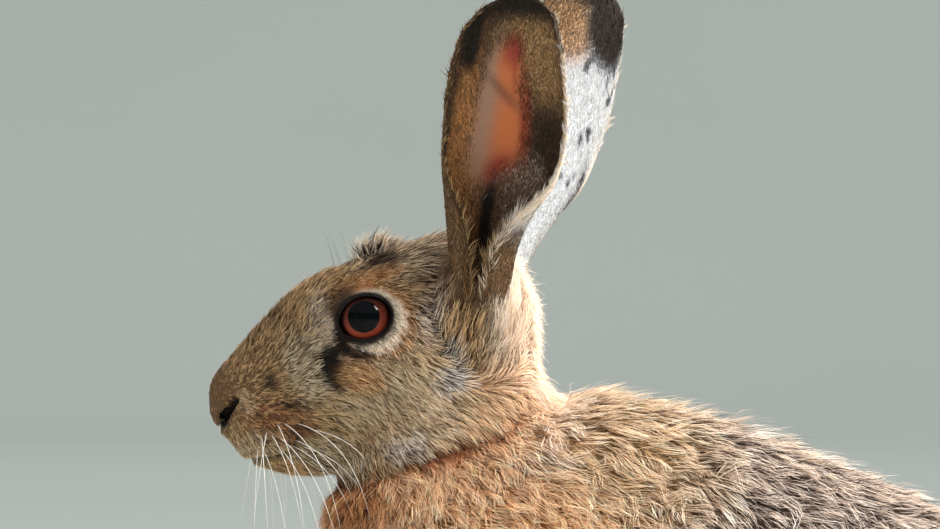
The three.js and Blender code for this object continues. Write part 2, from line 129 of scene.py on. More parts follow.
def share(label, description):
    words = {"name": label, "description": description}
    return FloatProperty(**words, default=1.0, min=0.2, max=1.5, subtype="FACTOR")


def measure(label, description, default, kind):
    return FloatProperty(name=label, description=description, default=default, unit=kind)


class HareCoat(bpy.types.PropertyGroup):
    density: share("Density", "Share of the full number of tufts")
    length: share("Length", "Share of the full length of the hair")
    width: share("Width", "Share of the full width of a tuft")
    seed: IntProperty(name="Seed", description="Seed of every random draw", default=11)


class HareColours(bpy.types.PropertyGroup):
    dark: colour("Dark hair", 0.010, 0.007, 0.006)
    umber: colour("Umber", 0.070, 0.036, 0.020)
    brown: colour("Agouti brown", 0.22, 0.115, 0.054)
    gold: colour("Golden brown", 0.45, 0.235, 0.105)
    buff: colour("Golden buff", 0.68, 0.43, 0.215)
    orange: colour("Orange", 0.68, 0.285, 0.10)
    rufous: colour("Rufous", 0.27, 0.088, 0.036)
    cream: colour("Cream", 0.93, 0.75, 0.56)
    silver: colour("Silver", 0.92, 0.78, 0.70)
    white: colour("White", 0.97, 0.93, 0.88)
    frost: colour("Frost white", 0.62, 0.68, 0.76)
    grey: colour("Grey brown", 0.15, 0.098, 0.078)
    peach: colour("Peach", 0.95, 0.64, 0.41)
    olive: colour("Olive grey", 0.33, 0.24, 0.125)
    # Ear skin colours, partly the skin's own pink and partly painted light: bright orange-red as if lit
    # through the ear from behind
    blush: colour("Thin ear skin", 0.36, 0.20, 0.14)
    flesh: colour("Bare ear skin", 0.56, 0.15, 0.05)
    crimson: colour("Crimson ear skin", 0.28, 0.034, 0.022)
    iris: colour("Iris", 0.05, 0.011, 0.008)


class HareStage(bpy.types.PropertyGroup):
    floor: colour("Floor", 0.55, 0.59, 0.55)
    distance: measure("Camera distance", "From the hare's long plane to the camera", 3.0, "LENGTH")
    view: measure("View width", "Width of the picture at the hare's long plane", 0.329, "LENGTH")
    key: measure("Key light", "Soft light from behind and above", 34.0, "POWER")
    fill: measure("Fill light", "Soft light from the camera's side", 15.0, "POWER")


def palette():
    """The coat's colours by name."""
    group = bpy.context.scene.hare_colours
    return {name: np.array(getattr(group, name)) for name in HareColours.__annotations__}


# Shader maths


class Wire:
    """An output of a shader node that takes part in Python expressions."""

    def __init__(self, shader, socket):
        self.shader = shader
        self.socket = socket

    def maths(self, operation, *values):
        return self.shader.node("Math", {"operation": operation}, dict(enumerate(values)))

    def __sub__(self, other):
        return self.maths("SUBTRACT", self, other)

    def __rsub__(self, other):
        return self.maths("SUBTRACT", other, self)

    def __mul__(self, other):
        return self.maths("MULTIPLY", self, other)

    __rmul__ = __mul__

    def between(self, low, high):
        """0 below low, 1 above high, and smooth between them."""
        values = {"Value": self, "From Min": low, "From Max": high}
        return self.shader.node("MapRange", {"interpolation_type": "SMOOTHSTEP"}, values)


class Shader:
    """A material that is built node by node."""

    def __init__(self, name):
        self.material = bpy.data.materials.new(name)
        self.material.use_nodes = True
        self.tree = self.material.node_tree
        self.tree.nodes.clear()

    def node(self, kind, settings=None, values=None, out=0):
        made = self.tree.nodes.new(f"ShaderNode{kind}")
        for name, value in (settings or {}).items():
            setattr(made, name, value)
        for name, value in (values or {}).items():
            socket = made.inputs[name]
            if isinstance(value, Wire):
                self.tree.links.new(value.socket, socket)
            elif socket.type == "RGBA":
                socket.default_value = (*value, 1)
            else:
                socket.default_value = value
        return Wire(self, made.outputs[out]) if len(made.outputs) else None

    def mix(self, factor, a, b):
        """Colour a where factor is 0, and b where it is 1."""
        return self.node("Mix", {"data_type": "RGBA"}, {0: factor, 6: a, 7: b}, out=2)

    def noise(self, size, detail=3.0):
        """Noise of the given grain in metres, on the piece's own coordinates."""
        where = self.node("TexCoord", out="Object")
        return self.node("TexNoise", None, {"Vector": where, "Scale": 1 / size, "Detail": detail})

    def attribute(self, name, out):
        return self.node("Attribute", {"attribute_name": name}, out=out)

    def bump(self, height, depth):
        return self.node("Bump", None, {"Height": height, "Distance": depth})

    def surface(self, **values):
        return self.node("BsdfPrincipled", None, {name.replace("_", " "): v for name, v in values.items()})

    def lit_through(self, hair, tint, factor):
        """Adds light of the given colour that comes through thin hair."""
        light = self.node("BsdfTranslucent", None, {"Color": tint})
        return self.node("MixShader", None, {0: factor, 1: hair, 2: light})

    def finish(self, surface):
        self.node("OutputMaterial", None, {"Surface": surface})
        return self.material


def grained(name, grain, edges, dark, light, depth=0, **values):
    """A shader and its surface, whose colour and bump follow a grain."""
    s = Shader(name)
    noise = s.noise(grain)
    if depth:
        values["Normal"] = s.bump(noise, depth)
    return s, s.surface(Base_Color=s.mix(noise.between(*edges), dark, light), **values)


def coat_material():
    """Hair: the tuft's own colour, a faint gloss, and warm light that comes through pale, thin tips."""
    s = Shader("hare_coat")
    tint = s.attribute("Coat", "Color")
    thin = s.attribute("Thin", "Fac")
    grain = s.noise(0.0007)
    shade = s.mix(grain.between(0.35, 0.75) * 0.25, tint, (0.02, 0.012, 0.008))
    hair = s.surface(Base_Color=shade, Roughness=0.62, Specular_IOR_Level=0.12)
    return s.finish(s.lit_through(hair, (0.95, 0.74, 0.55), thin * 0.42))


def skin_material():
    """Skin and underfur in a darkened coat tint that carries painted shade under the hair, smoother and damp
    where it is bare.
    """
    s = Shader("hare_skin")
    tint = s.attribute("Coat", "Color")
    bare = s.attribute("Bare", "Fac")
    pores = s.noise(0.0006, detail=4.0)
    shade = s.mix(pores.between(0.4, 0.75) * (0.4 - bare * 0.25), tint, (0.03, 0.018, 0.012))
    rough = 0.85 - bare * 0.3
    skin = s.surface(Base_Color=shade, Roughness=rough, Specular_IOR_Level=0.2, Normal=s.bump(pores, 0.0003))
    return s.finish(skin)


def eye_material():
    """A wet eyeball: a wide pupil, and a red-brown iris with fibres, with painted light at its foot and
    painted shade from the lid at its top.
    """
    s = Shader("hare_eye")
    iris = tuple(palette()["iris"])
    radius = s.attribute("EyeRadius", "Fac")
    foot = s.attribute("EyeFoot", "Fac")
    inner = s.attribute("EyePupil", "Fac")
    turn = s.attribute("EyeTurn", "Vector")
    fibres = s.node("TexNoise", None, {"Vector": turn, "Scale": 9.0, "Detail": 5.0})
    bright = tuple(min(1, c * 1.9) for c in iris)
    fibre = s.mix(fibres.between(0.35, 0.7), iris, bright)
    # Painted light: the iris's foot made brighter, as where light comes through the eye
    lit = s.mix(foot.between(-0.3, 0.9), fibre, (0.19, 0.030, 0.014))
    # Painted shade: the iris's top darkened, as under the lid
    painted_lid_shade = s.mix(foot.between(-0.95, -0.15), (0.010, 0.003, 0.002), lit)
    rimmed = s.mix(radius.between(0.82, 1.0), painted_lid_shade, (0.008, 0.002, 0.002))
    pupil = s.mix(inner.between(0.64, 0.69), (0.0004, 0.0006, 0.0012), rimmed)
    shade = s.mix(radius.between(0.97, 1.04), pupil, (0.004, 0.003, 0.003))
    wet = {"Coat_Weight": 0.3, "Coat_Roughness": 0.03, "Coat_IOR": 1.36}
    return s.finish(s.surface(Base_Color=shade, Roughness=0.6, Specular_IOR_Level=0.0, **wet))


def lid_material():
    """Black, damp skin at the edge of the lids."""
    dark, light = (0.0035, 0.0025, 0.0025), (0.014, 0.009, 0.008)
    damp = {"Roughness": 0.3, "Specular_IOR_Level": 0.13}
    s, skin = grained("hare_lid", 0.0009, (0.45, 0.75), dark, light, 0.0002, **damp)
    return s.finish(skin)


def claw_material():
    """Dark horn with paler worn streaks."""
    dark, light = (0.018, 0.012, 0.009), (0.11, 0.075, 0.05)
    s, horn = grained("hare_claw", 0.0012, (0.35, 0.75), dark, light, 0.0001, Roughness=0.38)
    return s.finish(horn)


def whisker_material():
    """Stiff pale hair that lets light through."""
    pale, dull = (0.95, 0.93, 0.9), (0.8, 0.76, 0.7)
    s, hair = grained("hare_whisker", 0.004, (0.3, 0.7), pale, dull, Roughness=0.3)
    return s.finish(s.lit_through(hair, pale, 0.4))


def brow_material():
    """Thin dark hair."""
    dark, light = (0.02, 0.013, 0.01), (0.07, 0.045, 0.03)
    s, hair = grained("hare_brow", 0.004, (0.3, 0.7), dark, light, Roughness=0.4)
    return s.finish(hair)


def floor_material():
    """Matt, slightly clouded pale backdrop."""
    s = Shader("stage_floor")
    tint = tuple(bpy.context.scene.hare_stage.floor)
    cloud = s.noise(0.9, detail=2.0)
    shade = s.mix(cloud.between(0.3, 0.8) * 0.15, tint, tuple(0.8 * c for c in tint))
    return s.finish(s.surface(Base_Color=shade, Roughness=0.9, Specular_IOR_Level=0.0))


# Meshes


def select_only(*objects):
    bpy.ops.object.select_all(action="DESELECT")
    for obj in objects:
        obj.select_set(True)
    bpy.context.view_layer.objects.active = objects[0]


def edit_mesh(obj, change):
    """Runs an edit-mode change on all of one object's mesh."""
    select_only(obj)
    bpy.ops.object.mode_set(mode="EDIT")
    bpy.ops.mesh.select_all(action="SELECT")
    change()
    bpy.ops.object.mode_set(mode="OBJECT")


def apply_modifier(obj, kind, **settings):
    select_only(obj)
    modifier = obj.modifiers.new(kind, kind)
    for name, value in settings.items():
        setattr(modifier, name, value)
    bpy.ops.object.modifier_apply(modifier=modifier.name)


def new_piece(name, points, triangles, material):
    """A smooth mesh object at the origin from points and triangles."""
    triangles = np.asarray(triangles, np.int32)
    mesh = bpy.data.meshes.new(name)
    mesh.vertices.add(len(points))
    mesh.vertices.foreach_set("co", np.asarray(points, np.float32).ravel())
    mesh.loops.add(triangles.size)
    mesh.loops.foreach_set("vertex_index", triangles.ravel())
    mesh.polygons.add(len(triangles))
    mesh.polygons.foreach_set("loop_start", np.arange(0, triangles.size, 3, dtype=np.int32))
    mesh.update(calc_edges=True)
    mesh.polygons.foreach_set("use_smooth", np.ones(len(triangles), bool))
    mesh.materials.append(material)
    obj = bpy.data.objects.new(name, mesh)
    bpy.context.scene.collection.objects.link(obj)
    return obj


def read_points(obj):
    points = np.empty(len(obj.data.vertices) * 3, np.float32)
    obj.data.vertices.foreach_get("co", points)
    return points.reshape(-1, 3).astype(float)


def write_points(obj, points):
    obj.data.vertices.foreach_set("co", np.asarray(points, np.float32).ravel())
    obj.data.update()


def read_triangles(obj):
    obj.data.calc_loop_triangles()
    triangles = np.empty(len(obj.data.loop_triangles) * 3, np.int32)
    obj.data.loop_triangles.foreach_get("vertices", triangles)
    return triangles.reshape(-1, 3)


def across_triangles(points, triangles):
    """A vector square to each triangle and twice its area long."""
    a, b, c = (points[triangles[:, i]] for i in range(3))
    return np.cross(b - a, c - a)


def random_places(count, rng):
    """Random shares of a triangle's three corners."""
    u, v = np.sqrt(rng.random((count, 1))), rng.random((count, 1))
    return np.concatenate([1 - u, u * (1 - v), u * v], 1)[:, :, None]


def point_normals(points, triangles):
    across = across_triangles(points, triangles)
    total = np.zeros_like(points)
    for corner in range(3):
        for axis in range(3):
            total[:, axis] += np.bincount(triangles[:, corner], across[:, axis], len(points))
    return unit(total)


def set_colour(obj, name, values):
    """Writes a colour for each vertex."""
    rgba = np.ones((len(values), 4), np.float32)
    rgba[:, :3] = values
    obj.data.attributes.new(name, "FLOAT_COLOR", "POINT").data.foreach_set("color", rgba.ravel())


def set_number(obj, name, values):
    values = np.asarray(values, np.float32)
    obj.data.attributes.new(name, "FLOAT", "POINT").data.foreach_set("value", values)


def read_attribute(obj, name, key, width):
    """A row of numbers for each vertex."""
    values = np.empty(len(obj.data.vertices) * width, np.float32)
    obj.data.attributes[name].data.foreach_get(key, values)
    return values.reshape(-1, width).astype(float)


# The coat's regions and markings, among them painted light and painted shade


class Fur(NamedTuple):
    """How a region's hair grows: its lie back and up, length and width in millimetres, tufts for each mm2,
    lift in degrees, curl, clumping, the share of dark hairs, and its colours above, below and at the tips.
    """

    slot: str
    lie: tuple
    hair: float
    width: float
    density: float
    lift: float
    curl: float
    clump: float
    black: float
    upper: str
    lower: str
    tip: str


FURS = {
    "head": Fur("fur_head", (1.0, -0.8), 7, 0.32, 4.0, 16, 0.4, 0.35, 0.30, "brown", "olive", "buff"),
    "neck": Fur("fur_neck", (0.52, -0.85), 9, 0.25, 3.2, 36, 2.0, 0.6, 0.04, "orange", "orange", "cream"),
    "shoulder": Fur("fur_back", (0.64, -0.77), 12, 0.29, 1.75, 32, 1.7, 0.68, 0.1, "orange", "buff", "cream"),
    "torso": Fur("fur_back", (0.68, -0.73), 14, 0.37, 0.96, 26, 1.3, 0.72, 0.22, "grey", "white", "silver"),
    "thigh": Fur("fur_haunch", (0.55, -0.83), 13, 0.50, 0.7, 20, 0.8, 0.58, 0.24, "brown", "buff", "silver"),
    "shank": Fur("fur_haunch", (-0.3, -0.95), 9, 0.58, 0.72, 18, 0.4, 0.5, 0.15, "gold", "buff", "cream"),
    "hind_foot": Fur("fur_leg", (-1.0, -0.12), 6, 0.55, 1.05, 14, 0.3, 0.4, 0.10, "gold", "brown", "cream"),
    "foreleg": Fur("fur_leg", (0.1, -1.0), 7, 0.54, 1.0, 15, 0.3, 0.4, 0.08, "orange", "orange", "buff"),
    "forepaw": Fur("fur_leg", (-0.9, -0.45), 5, 0.48, 1.5, 14, 0.2, 0.35, 0.08, "orange", "brown", "buff"),
    "tail": Fur("fur_tail", (1.0, 0.1), 16, 0.65, 0.8, 26, 0.6, 0.6, 0.0, "dark", "white", "white"),
}
SLOTS = ("fur_head", "fur_neck", "fur_back", "fur_haunch", "fur_leg", "fur_tail", "fur_ear")
NUMBERS = ("hair", "width", "density", "lift", "curl", "clump", "black")
COLOURS = ("tint", "tip")


def fur_of(node):
    """The region that a node of flesh belongs to, or None."""
    return next((name for name in FURS if node.startswith(name)), None)


class Mark(NamedTuple):
    """A soft oval of colour on head or neck, in millimetres from the eye, with its slope in degrees."""

    tint: str
    tip: str
    at: tuple
    size: tuple
    slope: float = 0
    strength: float = 1.0
    soft: float = 0.45


MARKS = {
    "shoulder_orange": Mark("orange", "peach", (48, -58), (46, 40), 0, 0.85),
    "chest": Mark("orange", "peach", (0, -102), (34, 42), 0, 0.95, 0.5),
    "flank": Mark("gold", "cream", (115, -138), (82, 30), -27, 0.85, 0.7),
    "withers": Mark("buff", "cream", (86, -42), (34, 22), -20, 0.85),
    "face_top": Mark("brown", "buff", (-25, 2), (30, 14), 38, 0.8),
    "crown": Mark("brown", "cream", (14, 22), (20, 8), 15, 0.7),
    "crest_foot": Mark("dark", "umber", (2.8, 19.0), (6.5, 4.0), 12, 0.95, 0.4),
    "cheek": Mark("buff", "cream", (11, -27), (24, 17), 0, 0.8),
    "behind_eye": Mark("umber", "silver", (24, 4), (8, 13), -20, 0.75),
    "temple": Mark("brown", "buff", (38, -6), (12, 16), 0, 0.8),
    "cheek_streak": Mark("umber", "white", (27, -19), (5.0, 6.5), -35, 0.95),
    # The nape's pale fur, whitened further as painted light for the back light that falls on it
    "nape": Mark("cream", "white", (57, 4), (15, 40), 6, 1.0),
    "nape_foot": Mark("peach", "white", (56, -24), (13, 22), 8, 0.95),
    "ear_foot": Mark("orange", "peach", (50, -31), (11, 12), 0, 0.9),
    "ear_cone": Mark("umber", "brown", (33, 11), (12, 17), 28, 0.95),
    "throat": Mark("rufous", "orange", (-6, -62), (14, 9), 0, 0.9),
    "jaw_corner": Mark("brown", "white", (12, -43), (8, 4.2), 20, 0.8),
    # Painted shade: a dark rufous line along the fold between cheek and neck
    "neck_crease": Mark("rufous", "rufous", (30, -43.5), (20, 2.6), 22, 1.0),
    "lower_jaw": Mark("olive", "cream", (-15, -49), (14, 7), 0, 0.85),
    "lower_lip": Mark("orange", "buff", (-27, -53), (6, 3), 0, 0.7),
    "nose": Mark("brown", "buff", (-51, -31), (6, 9), 0, 0.8),
    "nostril_side": Mark("buff", "cream", (-43.0, -30), (2.3, 4.2), 20, 0.9),
    "nostril_dot": Mark("dark", "dark", (-43.2, -31.5), (0.8, 1.7), 0, 0.9),
    "whisker_pad": Mark("rufous", "gold", (-32, -37), (11, 7), 10, 0.8),
    "upper_lip": Mark("gold", "cream", (-40, -44), (9, 5), 10, 0.8),
    "mouth_corner": Mark("umber", "rufous", (-24, -40), (5, 3.0), 30, 0.75),
    "muzzle_spot": Mark("dark", "dark", (-34.5, -23), (2.2, 3.4), 20, 0.9),
    "muzzle_streak": Mark("dark", "umber", (-26.5, -29.8), (4.6, 1.6), 15, 0.75),
    "snout_spot": Mark("dark", "umber", (-34.0, -0.5), (3.0, 2.2), 40, 0.55),
    "before_eye": Mark("olive", "cream", (-22, -18), (7.5, 11), 25, 0.9),
    "eye_front": Mark("silver", "cream", (-15.5, -3.0), (5.0, 11), 22, 0.6),
    "tear_band": Mark("dark", "dark", (-13.5, -18.3), (4.0, 8.3), 12, 1.0, 0.22),
    "under_eye": Mark("orange", "buff", (-4.0, -20), (7.5, 5.5), 0, 0.9),
    "brow": Mark("orange", "buff", (0, 13.5), (12, 3.2), 18, 0.9),
    "ring_edge": Mark("orange", "gold", (2.6, -1.2), (12.9, 12.0), 18, 0.9, 0.10),
    "eye_ring": Mark("cream", "white", (1.9, -0.8), (11.5, 10.9), 18, 1.0, 0.08),
    "ring_gap": Mark("umber", "brown", (-9.5, 5.5), (5, 7), -35, 0.85),
    "lid_shade": Mark("dark", "dark", (-0.5, -0.3), (10.9, 9.4), 18, 1.0, 0.06),
    "tear_line": Mark("dark", "umber", (-6.3, -12.0), (8.2, 2.3), -6, 1.0, 0.25),
    # Painted shade: a thin dark line along the fold under the eye
    "lid_fold": Mark("umber", "brown", (6.5, -13.3), (7.0, 0.9), 2, 0.8, 0.4),
    "lid_corner": Mark("dark", "dark", (-9.4, -7.8), (3.4, 4.4), 0, 1.0, 0.3),
}
NOSE_PAD = Mark("brown", "gold", (-54.0, -29.0), (5.5, 10.5), 0, 0.72, 0.45)
NOSTRIL = ((-51.2, -38.0), (-49.3, -34.0), (-46.0, -29.0))
MOUTH = ((-46.0, -50.3), (-38.5, -49.7), (-30.5, -49.0), (-25.5, -45.5), (-23.8, -41.7))
NOSE = (-52.0, -29.0)
# Rows of the dark roots of whiskers on the pad, as height and first place behind the eye
FOLLICLES = ((-29.5, -36.0), (-33.5, -38.0), (-37.5, -37.0), (-41.5, -38.5))
# The fold between jaw and neck in the solids, which fur bridges
JAW_FOLD = ((27.0, -22.0), (20.0, -28.4), (-2.0, -45.5), (-8.0, -52.0))
# The fold between cheek and neck, from the throat to the nape
CREASE = (
    (-40.0, -58.0),
    (-12.6, -56.4),
    (10.2, -50.8),
    (29.4, -43.0),
    (46.9, -37.8),
    (53.9, -29.0),
    (57.0, -10.0),
)


def oval(mark, where):
    """How far inside the mark each place is, from 0 to its strength."""
    slope = math.radians(mark.slope)
    along = np.array([math.cos(slope), math.sin(slope)])
    offset = where - np.array(mark.at)
    a = offset @ along / mark.size[0]
    b = offset @ np.array([-along[1], along[0]]) / mark.size[1]
    return mark.strength * (1 - smooth_step(np.hypot(a, b), 1 - mark.soft, 1 + mark.soft))


def follicles():
    """Dark dots where whiskers grow from the pad."""
    for row, (above, behind) in enumerate(FOLLICLES):
        for i in range(5):
            yield Mark("dark", "dark", (behind + 3.4 * i, above - 0.5 * i), (0.8, 1.1), 0, 0.9, 0.4)


def line_distance(line, where):
    """Millimetres from each place to a line of points in the hare's long plane."""
    nearest = np.full(len(where), 1e9)
    for start, end in zip(line[:-1], line[1:]):
        start, run = np.array(start), np.subtract(end, start)
        t = np.clip((where - start) @ run / (run @ run), 0, 1)
        nearest = np.minimum(nearest, np.linalg.norm(where - start - t[:, None] * run, axis=1))
    return nearest


# The ears, in the same sizes as the solids


class Ear(NamedTuple):
    root: tuple
    tip: tuple
    twist: float
    bend: float


EARS = {
    "left": Ear((40.6, -22, 286), (53.5, -74, 400), -0.12, 2),
    "right": Ear((38, 21, 287), (81.5, 44, 407), 0.3, 2),
}
EYE_HEIGHT = 290
EAR_INSET = 0.45
# share of the length, front margin, rear margin, half wrap in degrees, depth of the cup
EAR_SECTIONS = [
    (-0.16, -9, 5, 165, 15),
    (0.0, -10, 6, 165, 16),
    (0.12, -13, 6, 165, 18),
    (0.24, -15.5, 7.5, 158, 18),
    (0.35, -17.8, 12, 140, 17),
    (0.45, -19.6, 18, 112, 15),
    (0.57, -20.6, 21, 85, 12),
    (0.69, -21.2, 20.7, 72, 10),
    (0.81, -20, 18, 66, 8),
    (0.9, -16.5, 15.2, 62, 6),
    (0.96, -10.5, 12, 60, 4),
    (1.0, -2.5, 5.5, 60, 2),
]
# On the ear, a mark's place and size are shares across it, from -1 to 1, and along it
INSIDE_MARKS = {
    "front": Mark("umber", "brown", (-0.93, 0.55), (0.08, 0.5), 0, 0.9),
    "gold_band": Mark("orange", "gold", (-0.58, 0.45), (0.25, 0.36), 0, 0.95, 0.35),
    "gold_top": Mark("gold", "buff", (0.25, 0.85), (0.55, 0.09), 0, 0.8),
    "gold_rear": Mark("gold", "buff", (0.55, 0.79), (0.36, 0.13), 0, 0.85),
    # Painted light: the bare core and the blush round it are coloured as ear skin lit through from behind,
    # bright orange-red with crimson at its edges, over the skin's own pink
    "blush": Mark("blush", "blush", (-0.19, 0.60), (0.25, 0.25), 0, 1.0, 0.45),
    "core_top": Mark("flesh", "flesh", (-0.03, 0.76), (0.17, 0.08), 0, 0.95, 0.6),
    "core": Mark("flesh", "flesh", (0.0, 0.57), (0.19, 0.15), 0, 1.0, 0.65),
    "core_rear": Mark("crimson", "flesh", (0.20, 0.56), (0.07, 0.18), 0, 0.9, 0.8),
    "core_foot": Mark("crimson", "crimson", (0.0, 0.43), (0.16, 0.06), 0, 0.95, 0.6),
    "core_high": Mark("crimson", "crimson", (0.02, 0.82), (0.15, 0.05), 0, 0.9, 0.7),
    "vein": Mark("umber", "umber", (-0.10, 0.685), (0.22, 0.02), -12, 0.55, 0.8),
    "vein_high": Mark("crimson", "crimson", (0.04, 0.76), (0.03, 0.08), -8, 0.6, 0.8),
    "rear_dark": Mark("dark", "umber", (0.60, 0.50), (0.34, 0.17), 0, 0.8),
    "rear_edge": Mark("buff", "white", (1.02, 0.52), (0.11, 0.45), 0, 1.0, 0.3),
    "rear_fringe": Mark("cream", "white", (1.02, 0.40), (0.14, 0.16), 0, 1.0, 0.4),
    "lobe": Mark("orange", "gold", (-0.50, 0.27), (0.36, 0.16), 0, 0.8),
    "base_hair": Mark("brown", "silver", (0.30, 0.34), (0.34, 0.14), 0, 0.9),
    # Painted shade: near black at the foot of the ear's cup, where it closes into a tube
    "slit": Mark("dark", "dark", (-0.04, 0.28), (0.07, 0.11), 0, 1.0, 0.3),
    "front_tip": Mark("dark", "dark", (-0.74, 0.85), (0.24, 0.09), -15, 1.0, 0.3),
}
BACK_MARKS = {
    "front": Mark("brown", "buff", (-0.80, 0.5), (0.40, 0.6), 0, 0.9),
    "rear": Mark("frost", "frost", (0.50, 0.42), (0.90, 0.62), 0, 1.0, 0.2),
    "foot_front": Mark("brown", "buff", (-0.80, 0.05), (0.50, 0.27), 0, 1.0, 0.3),
    "foot_rear": Mark("brown", "buff", (0.88, 0.05), (0.48, 0.27), 0, 1.0, 0.3),
    "tip_edge": Mark("gold", "buff", (-0.15, 0.84), (0.34, 0.08), 0, 0.9),
    "tip_front": Mark("brown", "buff", (-0.6, 0.95), (0.5, 0.12), 0, 0.9),
    "tip": Mark("dark", "dark", (0.52, 0.95), (0.58, 0.17), 0, 1.0, 0.2),
    # Painted light: the pale fringe at the lower rear of the ear's back whitened where it lies in shade
    "rear_glow": Mark("white", "white", (0.92, 0.44), (0.30, 0.11), 0, 0.85, 0.4),
    "speck_low": Mark("umber", "dark", (0.55, 0.43), (0.08, 0.09), 20, 0.6, 0.8),
}
EAR_TIP = Mark("dark", "dark", (-0.1, 1.03), (1.4, 0.11), 0, 1.0, 0.3)


def specks(rng, count=26):
    """Small dark spots over the white of the ear's back."""
    for _ in range(count):
        at = (rng.uniform(-0.2, 0.85), rng.uniform(0.33, 0.80))
        size = (rng.uniform(0.03, 0.06), rng.uniform(0.008, 0.016))
        yield Mark("dark", "dark", at, size, rng.uniform(-20, 40), 0.9, 0.5)


def ear_axis(side):
    """The way the ear points, and its root in millimetres, its length, the way it opens and the way back."""
    ear, sign = EARS[side], SIGN[side]
    root = place(ear.root[0], ear.root[1], ear.root[2] - EYE_HEIGHT) / MM
    tip = place(ear.tip[0], ear.tip[1], ear.tip[2] - EYE_HEIGHT) / MM
    length = np.linalg.norm(tip - root)
    axis = (tip - root) / length
    opens = unit(np.array([0, sign, 0]) - axis * sign * axis[1])
    opens = opens * math.cos(ear.twist) + np.cross(axis, opens) * math.sin(ear.twist)
    return axis, root, length, opens, np.cross(opens, axis) * sign


def ear_points(side, along, across, face):
    """Points on the ear's back (face 1) or inside (face -1), by shares along and from -1 to 1 across."""
    axis, root, length, opens, rearward = ear_axis(side)
    rows = through(EAR_SECTIONS, along)
    wrap = np.radians(rows[:, 3])
    front, rear, depth = rows[:, 1], rows[:, 2], rows[:, 4]
    widest = np.where(rows[:, 3] < 90, np.sin(wrap), 1)

    def section(share_across):
        angle = share_across * wrap
        x = (front + rear) / 2 + (rear - front) / 2 * np.sin(angle) / widest
        inwards = depth * (np.cos(angle) - np.cos(wrap)) / (1 - np.cos(wrap))
        return np.stack([x, -inwards], 1)

    flat = section(across)
    run = unit(section(across + 0.02) - section(across - 0.02))
    wall = blend(3.4, 2.2, along) * (1 - 0.55 * across**2) / 2 - EAR_INSET * (1 - 0.6 * across**2)
    flat = flat + np.stack([run[:, 1], -run[:, 0]], 1) * (face * wall)[:, None]
    bow = EARS[side].bend * np.sin(np.pi * along)
    centre = root + axis * (along * length)[:, None] + opens * bow[:, None]
    return (centre + rearward * flat[:, :1] + opens * flat[:, 1:]) * MM


def ear_sheet(side, rows=80, columns=48):
    """A closed thin sheet from inside the head: its points and triangles, and each one's place on the ear."""
    foot = EAR_SECTIONS[0][0]
    steps = foot + (1 - foot) * np.linspace(0, 1, rows + 1) ** 0.92
    along, across = np.meshgrid(steps, np.linspace(-1, 1, columns + 1), indexing="ij")
    along, across = along.ravel(), across.ravel()
    count = len(along)
    face = np.repeat([1.0, -1.0], count)
    along, across = np.tile(along, 2), np.tile(across, 2)
    points = ear_points(side, along, across, face)
    grid = np.arange(count).reshape(rows + 1, columns + 1)
    a, b, c, d = grid[:-1, :-1], grid[:-1, 1:], grid[1:, 1:], grid[1:, :-1]
    quads = [np.stack([a, b, c, d], -1).reshape(-1, 4), np.stack([c, b, a, d], -1).reshape(-1, 4) + count]
    rim = np.concatenate([grid[0, ::-1], grid[1:, 0], grid[-1, 1:], grid[-2:0:-1, -1]])
    after = np.roll(rim, -1)
    quads.append(np.stack([rim, after, after + count, rim + count], -1))
    quads = np.concatenate(quads)
    if SIGN[side] > 0:
        quads = quads[:, ::-1]
    return points, np.concatenate([quads[:, :3], quads[:, [0, 2, 3]]]), along, across, face


# Field of the coat on the skin

# Rounds of smoothing between the furs of neighbouring regions
FIELD_ROUNDS = 26
# The face's hair in millimetres: its shortest and longest, and what it gains for each millimetre from a part
FACE_HAIR = (1.6, 8.5)
HAIR_GAIN = {"nose": 0.075, "eye": 0.40, "lips": 0.5}
# What fine and full hair of the face have
FACE_ENDS = {"width": (0.20, 0.28), "density": (7.0, 4.1)}
# Where the lids' edge lies from the middle of the eye, and the hair on it and on the nose
LID_EDGE = 11.5
LID_HAIR = 1.3
# How deep nostrils, lips and the neck's fold are cut, in millimetres
CUT = {"nostril": 3.0, "lips": 1.0, "crease": 1.3}
# How much more the hair stands up along the top of the head, in degrees
RIDGE_LIFT = 13
# The hair at the foot of each ear, and the tuft on the crown with its place and half its size
COLLAR = {"hair": 10.0, "lift": 34.0, "clump": 0.45, "density": 3.0, "width": 0.34}
CREST = {"hair": 8.4, "lift": 68.0, "clump": 0.50, "density": 6.0, "width": 0.36}
CREST_AT, CREST_SIZE = (2.8, 19), (7.0, 7.5)
# The ear's hair in millimetres: inside and on its back, each with what its foot adds, and what its edge adds
INSIDE_HAIR, BACK_HAIR, EDGE_HAIR = (2.4, 4.0), (2.8, 3.2), 1.6


def spread(values, triangles, passes):
    """Values smoothed over the mesh, as a mean with each point's neighbours."""
    one = np.concatenate([triangles[:, [0, 1]], triangles[:, [1, 2]], triangles[:, [2, 0]]])
    one = np.concatenate([one, one[:, ::-1]])
    count = len(values)
    degree = np.maximum(np.bincount(one[:, 0], minlength=count), 1)
    values = values.copy()
    for _ in range(passes):
        taken = values[one[:, 1]]
        for column in range(values.shape[1]):
            mean = np.bincount(one[:, 0], taken[:, column], count) / degree
            values[:, column] = (values[:, column] + mean) / 2
    return values


def nearest(samples, points):
    """The number of the sample that is nearest to each point."""
    tree = kdtree.KDTree(len(samples))
    for i, sample in enumerate(samples):
        tree.insert(sample, i)
    tree.balance()
    return np.array([tree.find(p)[1] for p in points])


def nearest_furs(points, rng, each=2500):
    """The number of the region of the nearest node of flesh, for each point."""
    names = list(FURS)
    samples, kinds = [], []
    for node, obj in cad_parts.items():
        if fur_of(node):
            at, triangles = read_points(obj), read_triangles(obj)
            area = np.linalg.norm(across_triangles(at, triangles), axis=1)
            pick = rng.choice(len(area), each, p=area / area.sum())
            samples.append((at[triangles[pick]] * random_places(each, rng)).sum(1))
            kinds += [names.index(fur_of(node))] * each
    return np.array(kinds)[nearest(np.concatenate(samples), points)]


